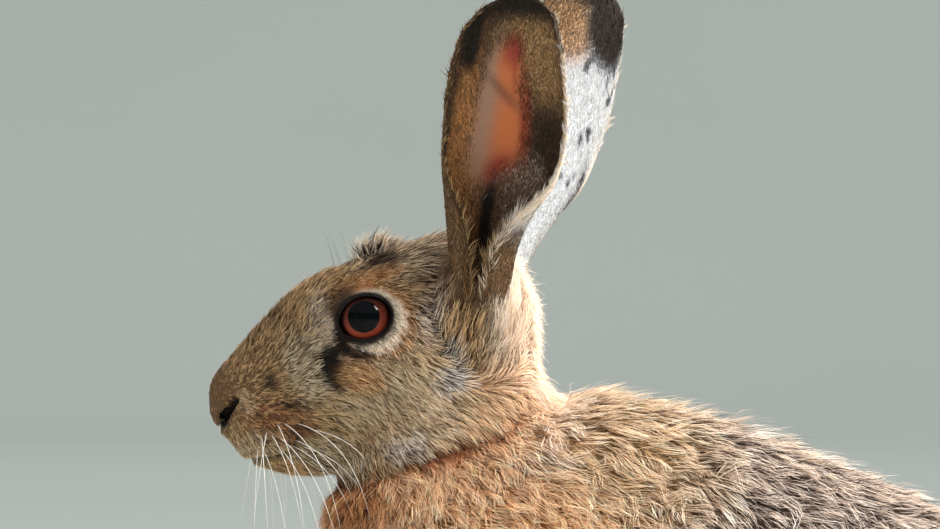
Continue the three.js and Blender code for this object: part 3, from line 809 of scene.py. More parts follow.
def body_field(points, triangles, normals, rng):
    """How the coat grows at each point of head and body."""
    tints = palette()
    kinds = nearest_furs(points, rng)
    where = face_place(points)
    names = list(FURS)
    fold = np.interp(where[:, 0], *np.array(CREASE).T)
    on_neck = (kinds == names.index("neck")) & (where[:, 1] > fold) & (where[:, 0] < CREASE[-1][0])
    kinds[on_neck] = names.index("head")

    def of_fur(value):
        """The value of each point's fur."""
        return np.array([value(fur) for fur in FURS.values()], float).reshape(len(FURS), -1)[kinds]

    head, tail, torso = ((kinds == names.index(name))[:, None] for name in ("head", "tail", "torso"))
    upper, lower, tip = (of_fur(lambda fur: tints[getattr(fur, name)]) for name in ("upper", "lower", "tip"))
    parts = {name: of_fur(lambda fur: getattr(fur, name)) for name in NUMBERS}
    above = smooth_step(normals[:, 2:], np.where(tail, -0.15, -0.75), np.where(tail, 0.35, 0.15))
    parts["tint"] = blend(lower, upper, above)
    parts["tip"] = np.where(tail, parts["tint"], np.where(torso, blend(lower, tip, above), tip))
    parts["head"] = head.astype(float)
    lie = unit(of_fur(lambda fur: (fur.lie[0], 0, fur.lie[1])))
    parts["lie"] = blend(lie, face_lie(where), parts["head"])
    flat = spread(np.concatenate(list(parts.values()), 1), triangles, FIELD_ROUNDS)
    field, start = {}, 0
    for name, values in parts.items():
        width = values.shape[1]
        field[name] = flat[:, start] if width == 1 else flat[:, start : start + width]
        start += width
    field["slot"] = of_fur(lambda fur: SLOTS.index(fur.slot))[:, 0]
    shape_face(field, where, field.pop("head"), points)
    paint_marks(field, where)
    return field


def face_lie(where):
    """Hair that runs from the nose along the snout, up over the brow, and down across the cheek."""
    behind, above = where.T
    snout = np.arctan2(above - NOSE[1], behind - NOSE[0] + 3)
    snout = np.clip(snout * 1.25, math.radians(-50), math.radians(62))
    angle = blend(snout, math.radians(-40), smooth_step(behind, -20, 4))
    brow = smooth_step(above, 4, 14) * (1 - smooth_step(behind, 5, 30))
    angle = blend(angle, math.radians(24), brow)
    return np.stack([np.cos(angle), np.zeros(len(where)), np.sin(angle)], 1)


def shape_face(field, where, head, points):
    """Short fine hair on nose, lips and lids, and longer hair on cheek, crown and throat."""
    nose = np.linalg.norm(where - np.array(NOSE), axis=1)
    eye = np.min([np.linalg.norm(points - at, axis=1) for at in EYES.values()], 0) / MM
    lips = line_distance(MOUTH, where)
    shortest, longest = FACE_HAIR
    hair = np.clip(shortest + HAIR_GAIN["nose"] * nose, shortest, longest)
    hair = np.minimum(hair, np.maximum(shortest + HAIR_GAIN["eye"] * (eye - LID_EDGE), LID_HAIR))
    hair = np.minimum(hair, shortest + 0.1 + HAIR_GAIN["lips"] * lips)
    on_head = smooth_step(head, 0.45, 0.95)
    field["hair"] = blend(field["hair"], hair, on_head)
    full = smooth_step(hair, 1.5, 8)
    for name, ends in FACE_ENDS.items():
        field[name] = blend(field[name], blend(*ends, full), on_head)
    nostril = line_distance(NOSTRIL, where)
    near_nostril = (1 - smooth_step(nostril, 1.2, 2.0)) * on_head
    near_lips = (1 - smooth_step(lips, 0.4, 1.0)) * on_head
    field["bare"] = np.clip(near_nostril + near_lips, 0, 1)
    pad = oval(NOSE_PAD, where) * on_head
    field["hair"] = blend(field["hair"], LID_HAIR, pad)
    field["density"] *= (1 - field["bare"]) * (0.05 + 0.95 * smooth_step(eye, LID_EDGE + 0.1, LID_EDGE + 0.9))
    crease = line_distance(CREASE[1:6], where)
    field["carve"] = CUT["nostril"] * (1 - smooth_step(nostril, 0.5, 1.9)) * on_head
    field["carve"] += CUT["lips"] * (1 - smooth_step(lips, 0.2, 1.4)) * on_head
    field["carve"] += CUT["crease"] * (1 - smooth_step(crease, 0.5, 4.0))
    ridge = on_head * (1 - smooth_step(np.abs(points[:, 1]) / MM, 5, 13)) * smooth_step(where[:, 1], -24, -8)
    field["lift"] = field["lift"] + RIDGE_LIFT * ridge
    raise_collar(field, points)
    raise_crest(field, where, points)


def regrow(field, values, lie, factor):
    """Turns the hair to the given values and lie, as far as the factor says at each point."""
    for name, value in values.items():
        field[name] = blend(field[name], value, factor)
    field["lie"] = blend(field["lie"], lie, factor[:, None])


def raise_collar(field, points):
    """Longer hair on the head that runs up round the foot of each ear."""
    for side in SIDES:
        axis, root = ear_axis(side)[:2]
        offset = points / MM - root
        up = offset @ axis
        reach = np.linalg.norm(offset - np.clip(up, 0, 40)[:, None] * axis, axis=1)
        collar = (1 - smooth_step(reach, 17, 26)) * smooth_step(field["hair"], 1, 4)
        regrow(field, COLLAR, axis + np.array([0.25, 0.0, 0.0]), collar)


def raise_crest(field, where, points):
    """The upright tuft on the crown, black at its foot and pale at its tips."""
    tints = palette()
    reach = np.hypot(*((where - CREST_AT) / CREST_SIZE).T)
    crest = (1 - smooth_step(reach, 0.85, 1.1)) * (1 - smooth_step(np.abs(points[:, 1]) / MM, 6.5, 8.5))
    regrow(field, CREST, np.array([0.25, 0.0, 0.9]), crest)
    field["crest"] = crest
    field["crest_tint"], field["crest_tip"] = tints["dark"] * 0.6, tints["cream"]


def paint_marks(field, where):
    """The markings of head and neck, the same on skin and coat, with painted light on the nape and painted
    shade in folds, nostrils and the mouth's line.
    """
    tints = palette()
    for mark in (*MARKS.values(), NOSE_PAD, *follicles()):
        factor = oval(mark, where)[:, None]
        field["tint"] = blend(field["tint"], tints[mark.tint], factor)
        field["tip"] = blend(field["tip"], tints[mark.tip], factor)
    crest = smooth_step(field["crest"], 0.05, 0.5)[:, None]
    for name in COLOURS:
        field[name] = blend(field[name], field.pop(f"crest_{name}"), crest)
        # Nostrils and the mouth's line near black: partly their dark bare skin, partly painted shade inside
        # the openings
        field[name] = blend(field[name], tints["dark"] * 0.3, field["bare"][:, None])


def ear_field(side, points, along, across, face, rng):
    """How the coat grows on one ear."""
    tints = palette()
    step = 0.01
    ahead = ear_points(side, np.minimum(along + step, 1.0), across, face)
    lie = unit(ahead - ear_points(side, along - step, across, face))
    behind = ear_points(side, along, across + step, face)
    rearward = unit(behind - ear_points(side, along, across - step, face))
    edge = smooth_step(np.abs(across), 0.88, 1.0)
    inside = face < 0
    base = 1 - smooth_step(along, 0.30, 0.46)
    where = np.stack([across, along], 1)
    tint = np.tile(tints["umber"], (len(points), 1))
    tip = np.tile(tints["brown"], (len(points), 1))
    marks = [(mark, inside) for mark in INSIDE_MARKS.values()]
    marks += [(mark, ~inside) for mark in (*BACK_MARKS.values(), *specks(rng))]
    for mark, there in [*marks, (EAR_TIP, inside | ~inside)]:
        factor = (oval(mark, where) * there)[:, None]
        tint, tip = blend(tint, tints[mark.tint], factor), blend(tip, tints[mark.tip], factor)
    bare = np.maximum(oval(INSIDE_MARKS["core"], where), oval(INSIDE_MARKS["core_top"], where))
    bare = np.maximum(bare, 0.85 * oval(INSIDE_MARKS["blush"], where)) * inside
    above_head = smooth_step(along, -0.02, 0.05)
    hair, foot_hair = np.where(inside[:, None], INSIDE_HAIR, BACK_HAIR).T
    return {
        "hair": hair + foot_hair * base + EDGE_HAIR * edge,
        "width": 0.23 + 0.06 * base,
        "density": (3.9 - 1.0 * base) * (1 - smooth_step(bare, 0.3, 0.75)) * above_head,
        "lift": 12.0 + 9 * edge + 8 * base,
        "black": np.full(len(points), 0.18),
        "curl": 0.3 + 0.5 * base,
        "clump": np.full(len(points), 0.35),
        "bare": bare,
        "lie": unit(lie + rearward * (np.sign(across) * edge * 0.35)[:, None]),
        "tint": tint,
        "tip": tip,
        "slot": np.full(len(points), SLOTS.index("fur_ear")),
    }


# Pieces


class HARE_OT_stage(bpy.types.Operator):
    """Pale sweep, soft lights and the camera at the photograph's framing"""

    bl_idname = "hare.stage"
    bl_label = "Build stage"

    # Where camera and lights look, in millimetres behind, beside and above the eyes
    aim = (36.4, 0, 18.4)
    lit = (20, 0, 0)
    rim_share = 0.95
    sky = {"Color": (0.98, 0.985, 1.0, 1), "Strength": 0.95}
    # Metres: the floor's flat radius, the radius of its bend and the height of its wall
    flat, bend, wall = 12.0, 3.0, 6.0
    sides = 96

    def execute(self, context):
        stage = context.scene.hare_stage
        self.sweep()
        self.camera(context.scene, stage)
        context.scene.view_settings.view_transform = "Standard"
        self.lamp("key", (0.90, -0.37, 0.80), 0.40, stage.key, (1.0, 0.95, 0.88))
        self.lamp("rim", (0.75, 1.0, 0.80), 0.6, self.rim_share * stage.key, (1.0, 0.93, 0.82))
        fill = self.lamp("fill", (-1.3, -1.6, 0.9), 2.0, stage.fill, (1.0, 0.98, 0.95))
        fill.visible_glossy = False
        context.scene.world = bpy.data.worlds.new("studio")
        context.scene.world.use_nodes = True
        background = context.scene.world.node_tree.nodes["Background"]
        for name, value in self.sky.items():
            background.inputs[name].default_value = value
        return {"FINISHED"}

    def camera(self, scene, stage):
        """The camera, level and square to the hare's long plane."""
        target = place(*self.aim)
        camera = bpy.data.cameras.new("camera")
        camera.sensor_width = 36.0
        camera.lens = camera.sensor_width * stage.distance / stage.view
        camera.clip_end = 40
        obj = bpy.data.objects.new("camera", camera)
        obj.location = (target[0], -stage.distance, target[2])
        obj.rotation_euler = (math.pi / 2, 0, 0)
        scene.collection.objects.link(obj)
        scene.camera = obj

    def lamp(self, name, offset, size, power, tint):
        """A square soft light, at an offset in metres from the place that it looks at."""
        light = bpy.data.lights.new(name, "AREA")
        light.size, light.energy, light.color = size, power, tint
        obj = bpy.data.objects.new(name, light)
        obj.location = Vector(place(*self.lit)) + Vector(offset)
        obj.rotation_euler = (-Vector(offset)).to_track_quat("-Z", "Y").to_euler()
        bpy.context.scene.collection.objects.link(obj)
        return obj

    def sweep(self):
        """A round floor whose edge curves up into a wall on every side."""
        flat, bend, sides = self.flat, self.bend, self.sides
        arc = np.linspace(0, math.pi / 2, 13)[1:]
        profile = [(1.0, 0.0), (flat, 0.0)]
        profile += [(flat + bend * math.sin(a), bend - bend * math.cos(a)) for a in arc]
        profile.append((flat + bend, self.wall))
        turn = np.linspace(0, 2 * math.pi, sides, endpoint=False)
        points = [(r * math.cos(a), r * math.sin(a), z) for r, z in profile for a in turn]
        points.append((0.0, 0.0, 0.0))
        faces = []
        for j in range(sides):
            k = (j + 1) % sides
            faces.append((len(points) - 1, j, k))
            for i in range(len(profile) - 1):
                a, b = i * sides + j, i * sides + k
                faces += [(a, a + sides, b + sides), (a, b + sides, b)]
        new_piece("floor", points, faces, floor_material())


class HARE_OT_skin(bpy.types.Operator):
    """One skin under the coat, moulded from the flesh and closed over every joint"""

    bl_idname = "hare.skin"
    bl_label = "Mould skin"

    voxel, quick_voxel = 1.0, 3.0
    weld, swell = 0.01, 0.3
    # The share of the standing coat's depth that the skin lies in by
    bed = 0.75
    # Rounds of smoothing for the whole body, the crown, the jaw's fold and the folds of the limbs
    whole, crown, jaw, limbs = 3, 250, 120, 14
    limit = 160000

    def execute(self, context):
        rng = np.random.default_rng(context.scene.hare_coat.seed)
        body = self.moulded()
        points, triangles = read_points(body), read_triangles(body)
        bpy.data.objects.remove(body)
        normals = point_normals(points, triangles)
        field = body_field(points, triangles, normals, rng)
        depth = field["hair"] * np.sin(np.radians(field["lift"])) * self.bed * MM
        points = spread(points, triangles, 1)
        points -= normals * (spread(depth[:, None], triangles, 4) + field["carve"][:, None] * MM)
        parts = [(points, triangles, field)]
        for side in SIDES:
            at, faces, along, across, face = ear_sheet(side)
            parts.append((at, faces, ear_field(side, at, along, across, face, rng)))
        self.join(parts)
        return {"FINISHED"}

    def moulded(self):
        """The nodes of flesh as one closed, smooth body."""
        copies = []
        for node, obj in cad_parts.items():
            if fur_of(node):
                copy = bpy.data.objects.new("skin_part", obj.data.copy())
                bpy.context.scene.collection.objects.link(copy)
                copies.append(copy)
        select_only(*copies)
        bpy.ops.object.join()
        body = bpy.context.view_layer.objects.active
        edit_mesh(body, lambda: bpy.ops.mesh.remove_doubles(threshold=self.weld * MM))
        apply_modifier(body, "DISPLACE", strength=self.swell * MM, mid_level=0)
        voxel = self.voxel * MM
        apply_modifier(body, "REMESH", mode="VOXEL", voxel_size=voxel, adaptivity=0)
        body = self.largest_part(body)
        apply_modifier(body, "SMOOTH", factor=0.5, iterations=self.whole)
        self.flatten_crest(body)
        fold = line_distance(JAW_FOLD, face_place(read_points(body)))
        self.smooth_group(body, 1 - smooth_step(fold, 3.5, 9), self.jaw)
        self.soften_trunk(body)
        apply_modifier(body, "TRIANGULATE")
        count = len(body.data.polygons)
        if count > self.limit:
            self.add_group(body, (self.trunk(read_points(body)) > 0.1).astype(float))
            apply_modifier(body, "DECIMATE", ratio=self.limit / count, vertex_group="chosen")
            body.vertex_groups.clear()
        return body

    def largest_part(self, body):
        """Drops closed scraps inside the body."""
        edit_mesh(body, lambda: bpy.ops.mesh.separate(type="LOOSE"))
        loose = sorted(bpy.context.selected_objects, key=lambda obj: len(obj.data.vertices))
        for obj in loose[:-1]:
            bpy.data.objects.remove(obj)
        return loose[-1]

    def flatten_crest(self, body):
        """Smooths away the solid locks on the crown, which the coat draws anew."""
        points = read_points(body)
        where = face_place(points)
        near = 1 - smooth_step(np.hypot((where[:, 0] - 4) / 14, (where[:, 1] - 27) / 14), 0.8, 1)
        self.smooth_group(body, near * (np.abs(points[:, 1]) < 12 * MM), self.crown)

    def trunk(self, points):
        """1 behind the head and 0 on it."""
        where = face_place(points)
        return smooth_step(where[:, 0] - 0.6 * where[:, 1], 55, 80)

    def soften_trunk(self, body):
        """Smooths the folds where limbs meet the body, away from face and feet."""
        points = read_points(body)
        self.smooth_group(body, self.trunk(points) * smooth_step(points[:, 2], 0.02, 0.05), self.limbs)

    def smooth_group(self, body, weights, rounds):
        self.add_group(body, weights)
        apply_modifier(body, "SMOOTH", factor=0.5, iterations=rounds, vertex_group="chosen")
        body.vertex_groups.clear()

    def add_group(self, body, weights):
        """A vertex group with the weights in eighths."""
        group = body.vertex_groups.new(name="chosen")
        for level in range(1, 9):
            chosen = np.flatnonzero((weights * 8).round() == level)
            if len(chosen):
                group.add(chosen.tolist(), level / 8, "REPLACE")

    def join(self, parts):
        """Makes the skin from its parts and writes the coat's field on it."""
        starts = np.cumsum([0] + [len(part[0]) for part in parts])
        points = np.concatenate([part[0] for part in parts])
        triangles = np.concatenate([part[1] + start for part, start in zip(parts, starts)])
        names = (*NUMBERS, *COLOURS, "bare", "lie", "slot")
        field = {name: np.concatenate([part[2][name] for part in parts]) for name in names}
        skin = new_piece("skin", points, triangles, skin_material())
        on_ear = field["slot"] == SLOTS.index("fur_ear")
        # The skin takes the coat's tint darkened, partly for underfur and partly as painted shade under the
        # hair; bare places and ears less so
        set_colour(skin, "Coat", field["tint"] * np.where(on_ear, 0.8, 0.45 + 0.4 * field["bare"])[:, None])
        set_number(skin, "Bare", field["bare"])
        for name in (*NUMBERS, "slot"):
            set_number(skin, f"grow_{name}", field[name])
        for name in (*COLOURS, "lie"):
            set_colour(skin, f"grow_{name}", field[name])
        edit_mesh(skin, self.unwrap)
        flesh = [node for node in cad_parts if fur_of(node) or node.startswith("ear_")]
        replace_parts(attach(skin, "root"), *flesh)

    def unwrap(self):
        bpy.ops.uv.smart_project(angle_limit=math.radians(66), island_margin=0.002)


class Roots(NamedTuple):
    """Where tufts grow from the skin, and how."""

    at: np.ndarray
    normal: np.ndarray
    uv: np.ndarray
    grow: dict


class HARE_OT_coat(bpy.types.Operator):
    """Thin tapered tufts over the whole skin, drawn together in locks"""

    bl_idname = "hare.coat"
    bl_label = "Grow coat"

    triangle_limit = 195000
    quick_share = 0.15
    # Millimetres: the height below which the sole is bare, how deep a tuft is rooted, and its least height
    sole, sunk, clearance = 0.3, 0.25, 0.2
    # The size of a tuft's patch on the map that its colours are baked to
    patch = 0.003
    # Shares of a tuft's length, and of its width there
    stops = np.array([0.0, 0.38, 0.74, 1.0])
    taper = np.array([0.9, 1.0, 0.62])
    long_strip = ((0, 1, 3), (0, 3, 2), (2, 3, 5), (2, 5, 4), (4, 5, 6))
    short_strip = ((0, 1, 3), (0, 3, 2), (2, 3, 4))
    short_slots = ("fur_head", "fur_ear", "fur_leg")
    # Hair longer than this grows in larger locks, and the tufts in a lock of each kind
    long_hair, per_lock = 8.5, (14, 8)
    # How far the lock's draw, and the tuft's own, change the tuft's turn, lift and length
    sway = ((0.15, 0.12), (0.17, 0.30), (0.12, 0.18))
    # What a tuft's lift in radians, and its length and width as shares of its fur's, stay within
    lifts, lengths, widths = (0.04, 1.2), (0.5, 1.5), (0.5, 1.6)
    # How much more a curly tuft turns, how wide it waves and bends aside, and how often it waves
    curl_turn, curl_wave, curl_bend, wave_turns = 0.6, 0.055, 0.1, 5.5
    # How much flatter a tuft lies at its tip, and how late it joins its lock
    droop, gather = 0.45, 1.6
    # The share of stray hairs, its gain for each millimetre of hair, and how much more they stand up
    stray_share, stray_gain, stray_lift = 0.04, 0.005, 0.40
    # The share of hairs that aren't pale, and the dark that roots fade to: partly grey-brown underfur, partly
    # painted shade deep in the coat
    pale_from = 0.74
    root_underfur_shade = np.array([0.05, 0.033, 0.026])
    # How far the lock's draw, and the tuft's own, change its light, and the share of that on a white ear
    shades, white_share = (0.24, 0.28), 0.25
    # What a dark hair keeps of the tint in its middle and at its end
    dark_middle, dark_end = 0.15, 0.18
    # The share of the tip's colour in the middle of a pale hair, and how much brighter tips are
    pale_share, tip_light = 0.85, 1.08

    def execute(self, context):
        settings = context.scene.hare_coat
        rng = np.random.default_rng(settings.seed + 1)
        skin = bpy.data.objects["skin"]
        roots = self.plant(skin, settings, rng)
        lines, colours = self.comb(roots, settings, rng)
        self.material = coat_material()
        slots = roots.grow["slot"].round().astype(int)
        for number, slot in enumerate(SLOTS):
            chosen = np.flatnonzero(slots == number)
            strip = self.short_strip if slot in self.short_slots else self.long_strip
            parts = max(1, math.ceil(len(chosen) * len(strip) / self.triangle_limit))
            for part in range(parts):
                name = f"{slot.replace('fur', 'coat')}_{part + 1}"
                some = chosen[part::parts]
                self.build(name, lines[some], colours[some], roots.uv[some], slot, strip)
        for name in [a.name for a in skin.data.attributes if a.name.startswith("grow_")]:
            skin.data.attributes.remove(skin.data.attributes[name])
        return {"FINISHED"}

    def read_field(self, skin):
        """The coat's field at each point of the skin."""
        grow = {name: read_attribute(skin, f"grow_{name}", "value", 1) for name in (*NUMBERS, "slot")}
        for name in (*COLOURS, "lie"):
            grow[name] = read_attribute(skin, f"grow_{name}", "color", 4)[:, :3]
        return grow

    def plant(self, skin, settings, rng):
        """Roots spread over the skin by the density there."""
        points, triangles = read_points(skin), read_triangles(skin)
        normals = point_normals(points, triangles)
        grow = self.read_field(skin)
        area = np.linalg.norm(across_triangles(points, triangles), axis=1) / 2 / MM**2
        wanted = area * grow["density"][triangles, 0].mean(1) * settings.density
        wanted *= 1
        wanted *= points[triangles, 2].min(1) > self.sole * MM
        counts = np.floor(wanted + rng.random(len(wanted))).astype(int)
        pick = np.repeat(np.arange(len(triangles)), counts)
        weights = random_places(len(pick), rng)
        corners = triangles[pick]
        uv = np.empty(len(skin.data.loops) * 2, np.float32)
        skin.data.uv_layers.active.uv.foreach_get("vector", uv)
        uv = uv.reshape(-1, 3, 2)[pick]
        mixed = {name: (values[corners] * weights).sum(1) for name, values in grow.items()}
        mixed["slot"] = grow["slot"][corners[:, 0]]
        mixed = {name: values[:, 0] if values.shape[1] == 1 else values for name, values in mixed.items()}
        at = (points[corners] * weights).sum(1)
        return Roots(at, unit((normals[corners] * weights).sum(1)), (uv * weights).sum(1), mixed)

    def comb(self, roots, settings, rng):
        """The path and colours of every tuft, at each stop from root to tip."""
        count = len(roots.at)
        grow, normal = roots.grow, roots.normal
        lie = unit(grow["lie"] - normal * dot(grow["lie"], normal))
        side = np.cross(lie, normal)
        leaders = self.leaders(roots, rng)
        curl = grow["curl"]
        # One draw for each lock, and a smaller one for each of its tufts
        lock = rng.normal(size=(count, 6))[leaders]
        own = rng.normal(size=(count, 6))
        turn, lift, length = (a * lock[:, i] + b * own[:, i] for i, (a, b) in enumerate(self.sway))
        turn *= 1 + self.curl_turn * curl
        lie = lie * np.cos(turn)[:, None] + side * np.sin(turn)[:, None]
        side = np.cross(lie, normal)
        stray = rng.random(count) < self.stray_share + self.stray_gain * grow["hair"]
        stray &= grow["hair"] > 3
        lift = np.radians(grow["lift"]) * (1 + lift) + self.stray_lift * stray
        lift = np.clip(lift, *self.lifts)
        length = grow["hair"] * MM * settings.length * np.clip(1 + length, *self.lengths)
        wave = self.curl_wave * curl * (1 + 0.4 * lock[:, 3])
        phase = 2.2 * lock[:, 4] + 0.5 * own[:, 4]
        base = roots.at - normal * self.sunk * MM
        paths = []
        for s in self.stops:
            rise = lift * (1 - self.droop * s)
            swing = wave * (np.sin(self.wave_turns * s + phase) - np.sin(phase))
            swing += self.curl_bend * curl * lock[:, 5] * s * s
            step = lie * (s * np.cos(rise))[:, None] + normal * (s * np.sin(rise))[:, None]
            step += side * swing[:, None]
            paths.append(base + step * length[:, None])
        paths = np.stack(paths, 1)
        alike = dot(normal, normal[leaders])[:, 0] > 0.5
        pull = np.clip(grow["clump"] * alike * ~stray, 0, 0.9)
        led = paths[leaders]
        for i, s in enumerate(self.stops):
            paths[:, i] = blend(paths[:, i], led[:, i], (pull * s**self.gather)[:, None])
        width = grow["width"] * MM * settings.width * np.clip(1 + 0.2 * own[:, 5], *self.widths)
        width *= 1 - 0.4 * stray
        roll = 0.5 * own[:, 3]
        flat = side * np.cos(roll)[:, None] + normal * np.sin(roll)[:, None]
        lines = np.empty((count, 7, 3))
        for i in range(3):
            half = flat * (width * self.taper[i] / 2)[:, None]
            lines[:, 2 * i] = paths[:, i] - half
            lines[:, 2 * i + 1] = paths[:, i] + half
        lines[:, 6] = paths[:, 3]
        lines[..., 2] = np.maximum(lines[..., 2], self.clearance * MM)
        return lines, self.dye(grow, lock, rng)

    def leaders(self, roots, rng):
        """For each tuft, the one that leads its lock."""
        long_hair = roots.grow["hair"] > self.long_hair
        per_lock = np.where(long_hair, *self.per_lock)
        chosen = np.flatnonzero(rng.random(len(roots.at)) < 1 / per_lock)
        return chosen[nearest(roots.at[chosen], roots.at)]

    def dye(self, grow, lock, rng):
        """Colours from root to tip, with dark and pale hairs mixed in as in an agouti coat, and roots
        darkened partly for underfur and partly with painted shade.
        """
        count = len(lock)
        tint, tip = grow["tint"], grow["tip"]
        bright = tint.mean(1)
        white_ear = (grow["slot"] == SLOTS.index("fur_ear")) & (bright > 0.4)
        vary = np.where(white_ear, self.white_share, 1.0)
        of_lock, own = self.shades
        light = np.exp(vary * (of_lock * lock[:, 5] + own * rng.normal(size=count)))[:, None]
        draw = rng.random(count)[:, None]
        dark = ((draw[:, 0] < grow["black"]) * smooth_step(0.75 - bright, 0, 0.2))[:, None]
        mid = blend(tint * light, tint * self.dark_middle, dark)
        mid = blend(mid, blend(tint, tip, self.pale_share), (draw > self.pale_from) * (1 - dark))
        end = blend(tip * light * self.tip_light, tint * self.dark_end, dark)
        pale = smooth_step(bright, 0.5, 0.8)[:, None]
        # Roots darker than the tint, pale hair less so: partly underfur, partly painted shade within the coat
        root = blend(tint * (0.24 + 0.46 * pale), self.root_underfur_shade, 0.35 * (1 - pale))
        root = np.where(white_ear[:, None], tint * 0.7, root)
        low = blend(root, mid, 0.7)
        high = blend(mid, end, np.where(grow["lift"] > 45, 0.15, 0.68)[:, None])
        return np.clip(np.stack([root, root, low, low, high, high, end], 1), 0, 1)

    def build(self, name, lines, colours, uv, slot, strip):
        """One piece of coat, with the places where its colours are baked. Short hair has one stop less."""
        along, across = np.repeat(self.stops, 2)[None, :7], np.array([[0, 1, 0, 1, 0, 1, 0.5]])
        if strip is self.short_strip:
            lines, colours, along, across = map(self.without_stop, (lines, colours, along, across))
        stride = lines.shape[1]
        triangles = (np.array(strip)[None] + stride * np.arange(len(lines))[:, None, None]).reshape(-1, 3)
        piece = new_piece(name, lines.reshape(-1, 3), triangles, self.material)
        set_colour(piece, "Coat", colours.reshape(-1, 3))
        set_number(piece, "Thin", smooth_step(colours.mean(2), 0.08, 0.75).ravel())
        spots = uv[:, None] + (np.stack([across, along], -1) - 0.5) * self.patch
        layer = piece.data.uv_layers.new(name="OFBake")
        layer.uv.foreach_set("vector", spots.reshape(-1, 2)[triangles.ravel()].astype(np.float32).ravel())
        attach(piece, "root")

    def without_stop(self, values):
        """The two middle stops as one between them."""
        return np.concatenate([values[:, :2], (values[:, 2:4] + values[:, 4:6]) / 2, values[:, 6:]], 1)


class HARE_OT_eyes(bpy.types.Operator):
    """Wet eyeballs with iris and pupil, and the dark rims of the lids"""

    bl_idname = "hare.eyes"
    bl_label = "Set eyes"

    iris = 8.4 * MM
    bulge = 0.45 * MM
    iris_shift = (0.35 * MM, -0.45 * MM)
    pupil_shift = (-0.45 * MM, 0.30 * MM)
    # The lids' opening in millimetres, half its length and height, and its slope
    rim = (10.1, 8.6)
    rim_slope = 0.32
    lid_radius = 1.25
    # The turn of the front corner, its breadth, and how far it is drawn out
    corner, corner_breadth, corner_reach = 1.04 * math.pi, 0.12, 0.17
    ring = 0.25
    # The rim's thickness as shares of its radius, at least and what its middle and its front corner add
    thickness, middle_gain, corner_gain = 0.9, 0.2, 0.7
    # Millimetres: how far the rim lies out from the eyeball, half its height, and how deep it sits
    rim_out, rim_height, rim_sunk = 1.0, 0.7, 0.2

    def execute(self, context):
        self.eye_look, self.lid_look = eye_material(), lid_material()
        for side in SIDES:
            self.eyeball(side)
            self.lids(side)
        return {"FINISHED"}

    def eyeball(self, side):
        centre, sign = EYES[side], SIGN[side]
        bpy.ops.object.select_all(action="DESELECT")
        bpy.ops.mesh.primitive_uv_sphere_add(segments=96, ring_count=64, radius=EYE_RADIUS)
        ball = bpy.context.object
        ball.name = f"eyeball_{side}"
        points = read_points(ball)
        points = np.stack([points[:, 0], sign * points[:, 2], -sign * points[:, 1]], 1)
        radius = np.hypot(points[:, 0], points[:, 2])
        radius = np.where(points[:, 1] * sign > 0, radius, 2 * EYE_RADIUS)
        points += unit(points) * (self.bulge * (1 - smooth_step(radius, 0, self.iris)))[:, None]
        turn = np.stack([points[:, 0], points[:, 2]], 1) / np.maximum(radius, 1e-9)[:, None]
        write_points(ball, points + centre)
        select_only(ball)
        bpy.ops.object.shade_smooth()
        set_number(ball, "EyeRadius", self.reach(points, self.iris_shift, radius) / self.iris)
        set_number(ball, "EyePupil", self.reach(points, self.pupil_shift, radius) / self.iris)
        set_number(ball, "EyeFoot", -points[:, 2] / self.iris)
        fibre = np.column_stack([turn, radius / self.iris * 0.16]).astype(np.float32)
        ball.data.attributes.new("EyeTurn", "FLOAT_VECTOR", "POINT").data.foreach_set("vector", fibre.ravel())
        ball.data.materials.append(self.eye_look)
        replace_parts(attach(ball, "root"), f"eye_{side}")

    def reach(self, points, shift, radius):
        """How far each point of the eye's front lies from a centre beside its middle."""
        from_centre = np.hypot(points[:, 0] - shift[0], points[:, 2] - shift[1])
        return np.where(radius > EYE_RADIUS, radius, from_centre)

    def lids(self, side):
        """A rounded rim along the almond opening, drawn out at its front corner."""
        centre, sign = EYES[side], SIGN[side]
        bpy.ops.object.select_all(action="DESELECT")
        ring = {"major_radius": 1, "minor_radius": self.ring}
        bpy.ops.mesh.primitive_torus_add(major_segments=96, minor_segments=12, **ring)
        lids = bpy.context.object
        lids.name = f"lids_{side}"
        points = read_points(lids)
        turn = np.arctan2(points[:, 1], points[:, 0])
        out = (np.hypot(points[:, 0], points[:, 1]) - 1) / self.ring
        up = points[:, 2] / self.ring
        corner = np.exp(-((np.mod(turn, 2 * math.pi) - self.corner) ** 2) / self.corner_breadth)
        reach = 1 + self.corner_reach * corner
        gain = self.middle_gain * np.abs(np.sin(turn)) + self.corner_gain * corner
        thick = self.lid_radius * (self.thickness + gain)
        along = np.cos(turn) * (self.rim[0] * reach + out * thick)
        rise = np.sin(turn) * (self.rim[1] * reach + out * thick)
        x = along * math.cos(self.rim_slope) - rise * math.sin(self.rim_slope)
        z = along * math.sin(self.rim_slope) + rise * math.cos(self.rim_slope)
        shell = (EYE_RADIUS / MM + self.rim_out) ** 2
        y = np.sqrt(np.maximum(shell - x * x - z * z, 0)) + up * self.rim_height - self.rim_sunk
        write_points(lids, centre + np.column_stack([x, sign * y, z]) * MM)
        edit_mesh(lids, lambda: bpy.ops.mesh.normals_make_consistent(inside=False))
        bpy.ops.object.shade_smooth()
        lids.data.materials.append(self.lid_look)
        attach(lids, "root")


class HARE_OT_claws(bpy.types.Operator):
    """Horn on the claws of the solids"""

    bl_idname = "hare.claws"
    bl_label = "Finish claws"

    def execute(self, context):
        look = claw_material()
        for node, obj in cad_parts.items():
            if node.startswith("claw_"):
                obj.data.materials.clear()
                obj.data.materials.append(look)
        return {"FINISHED"}


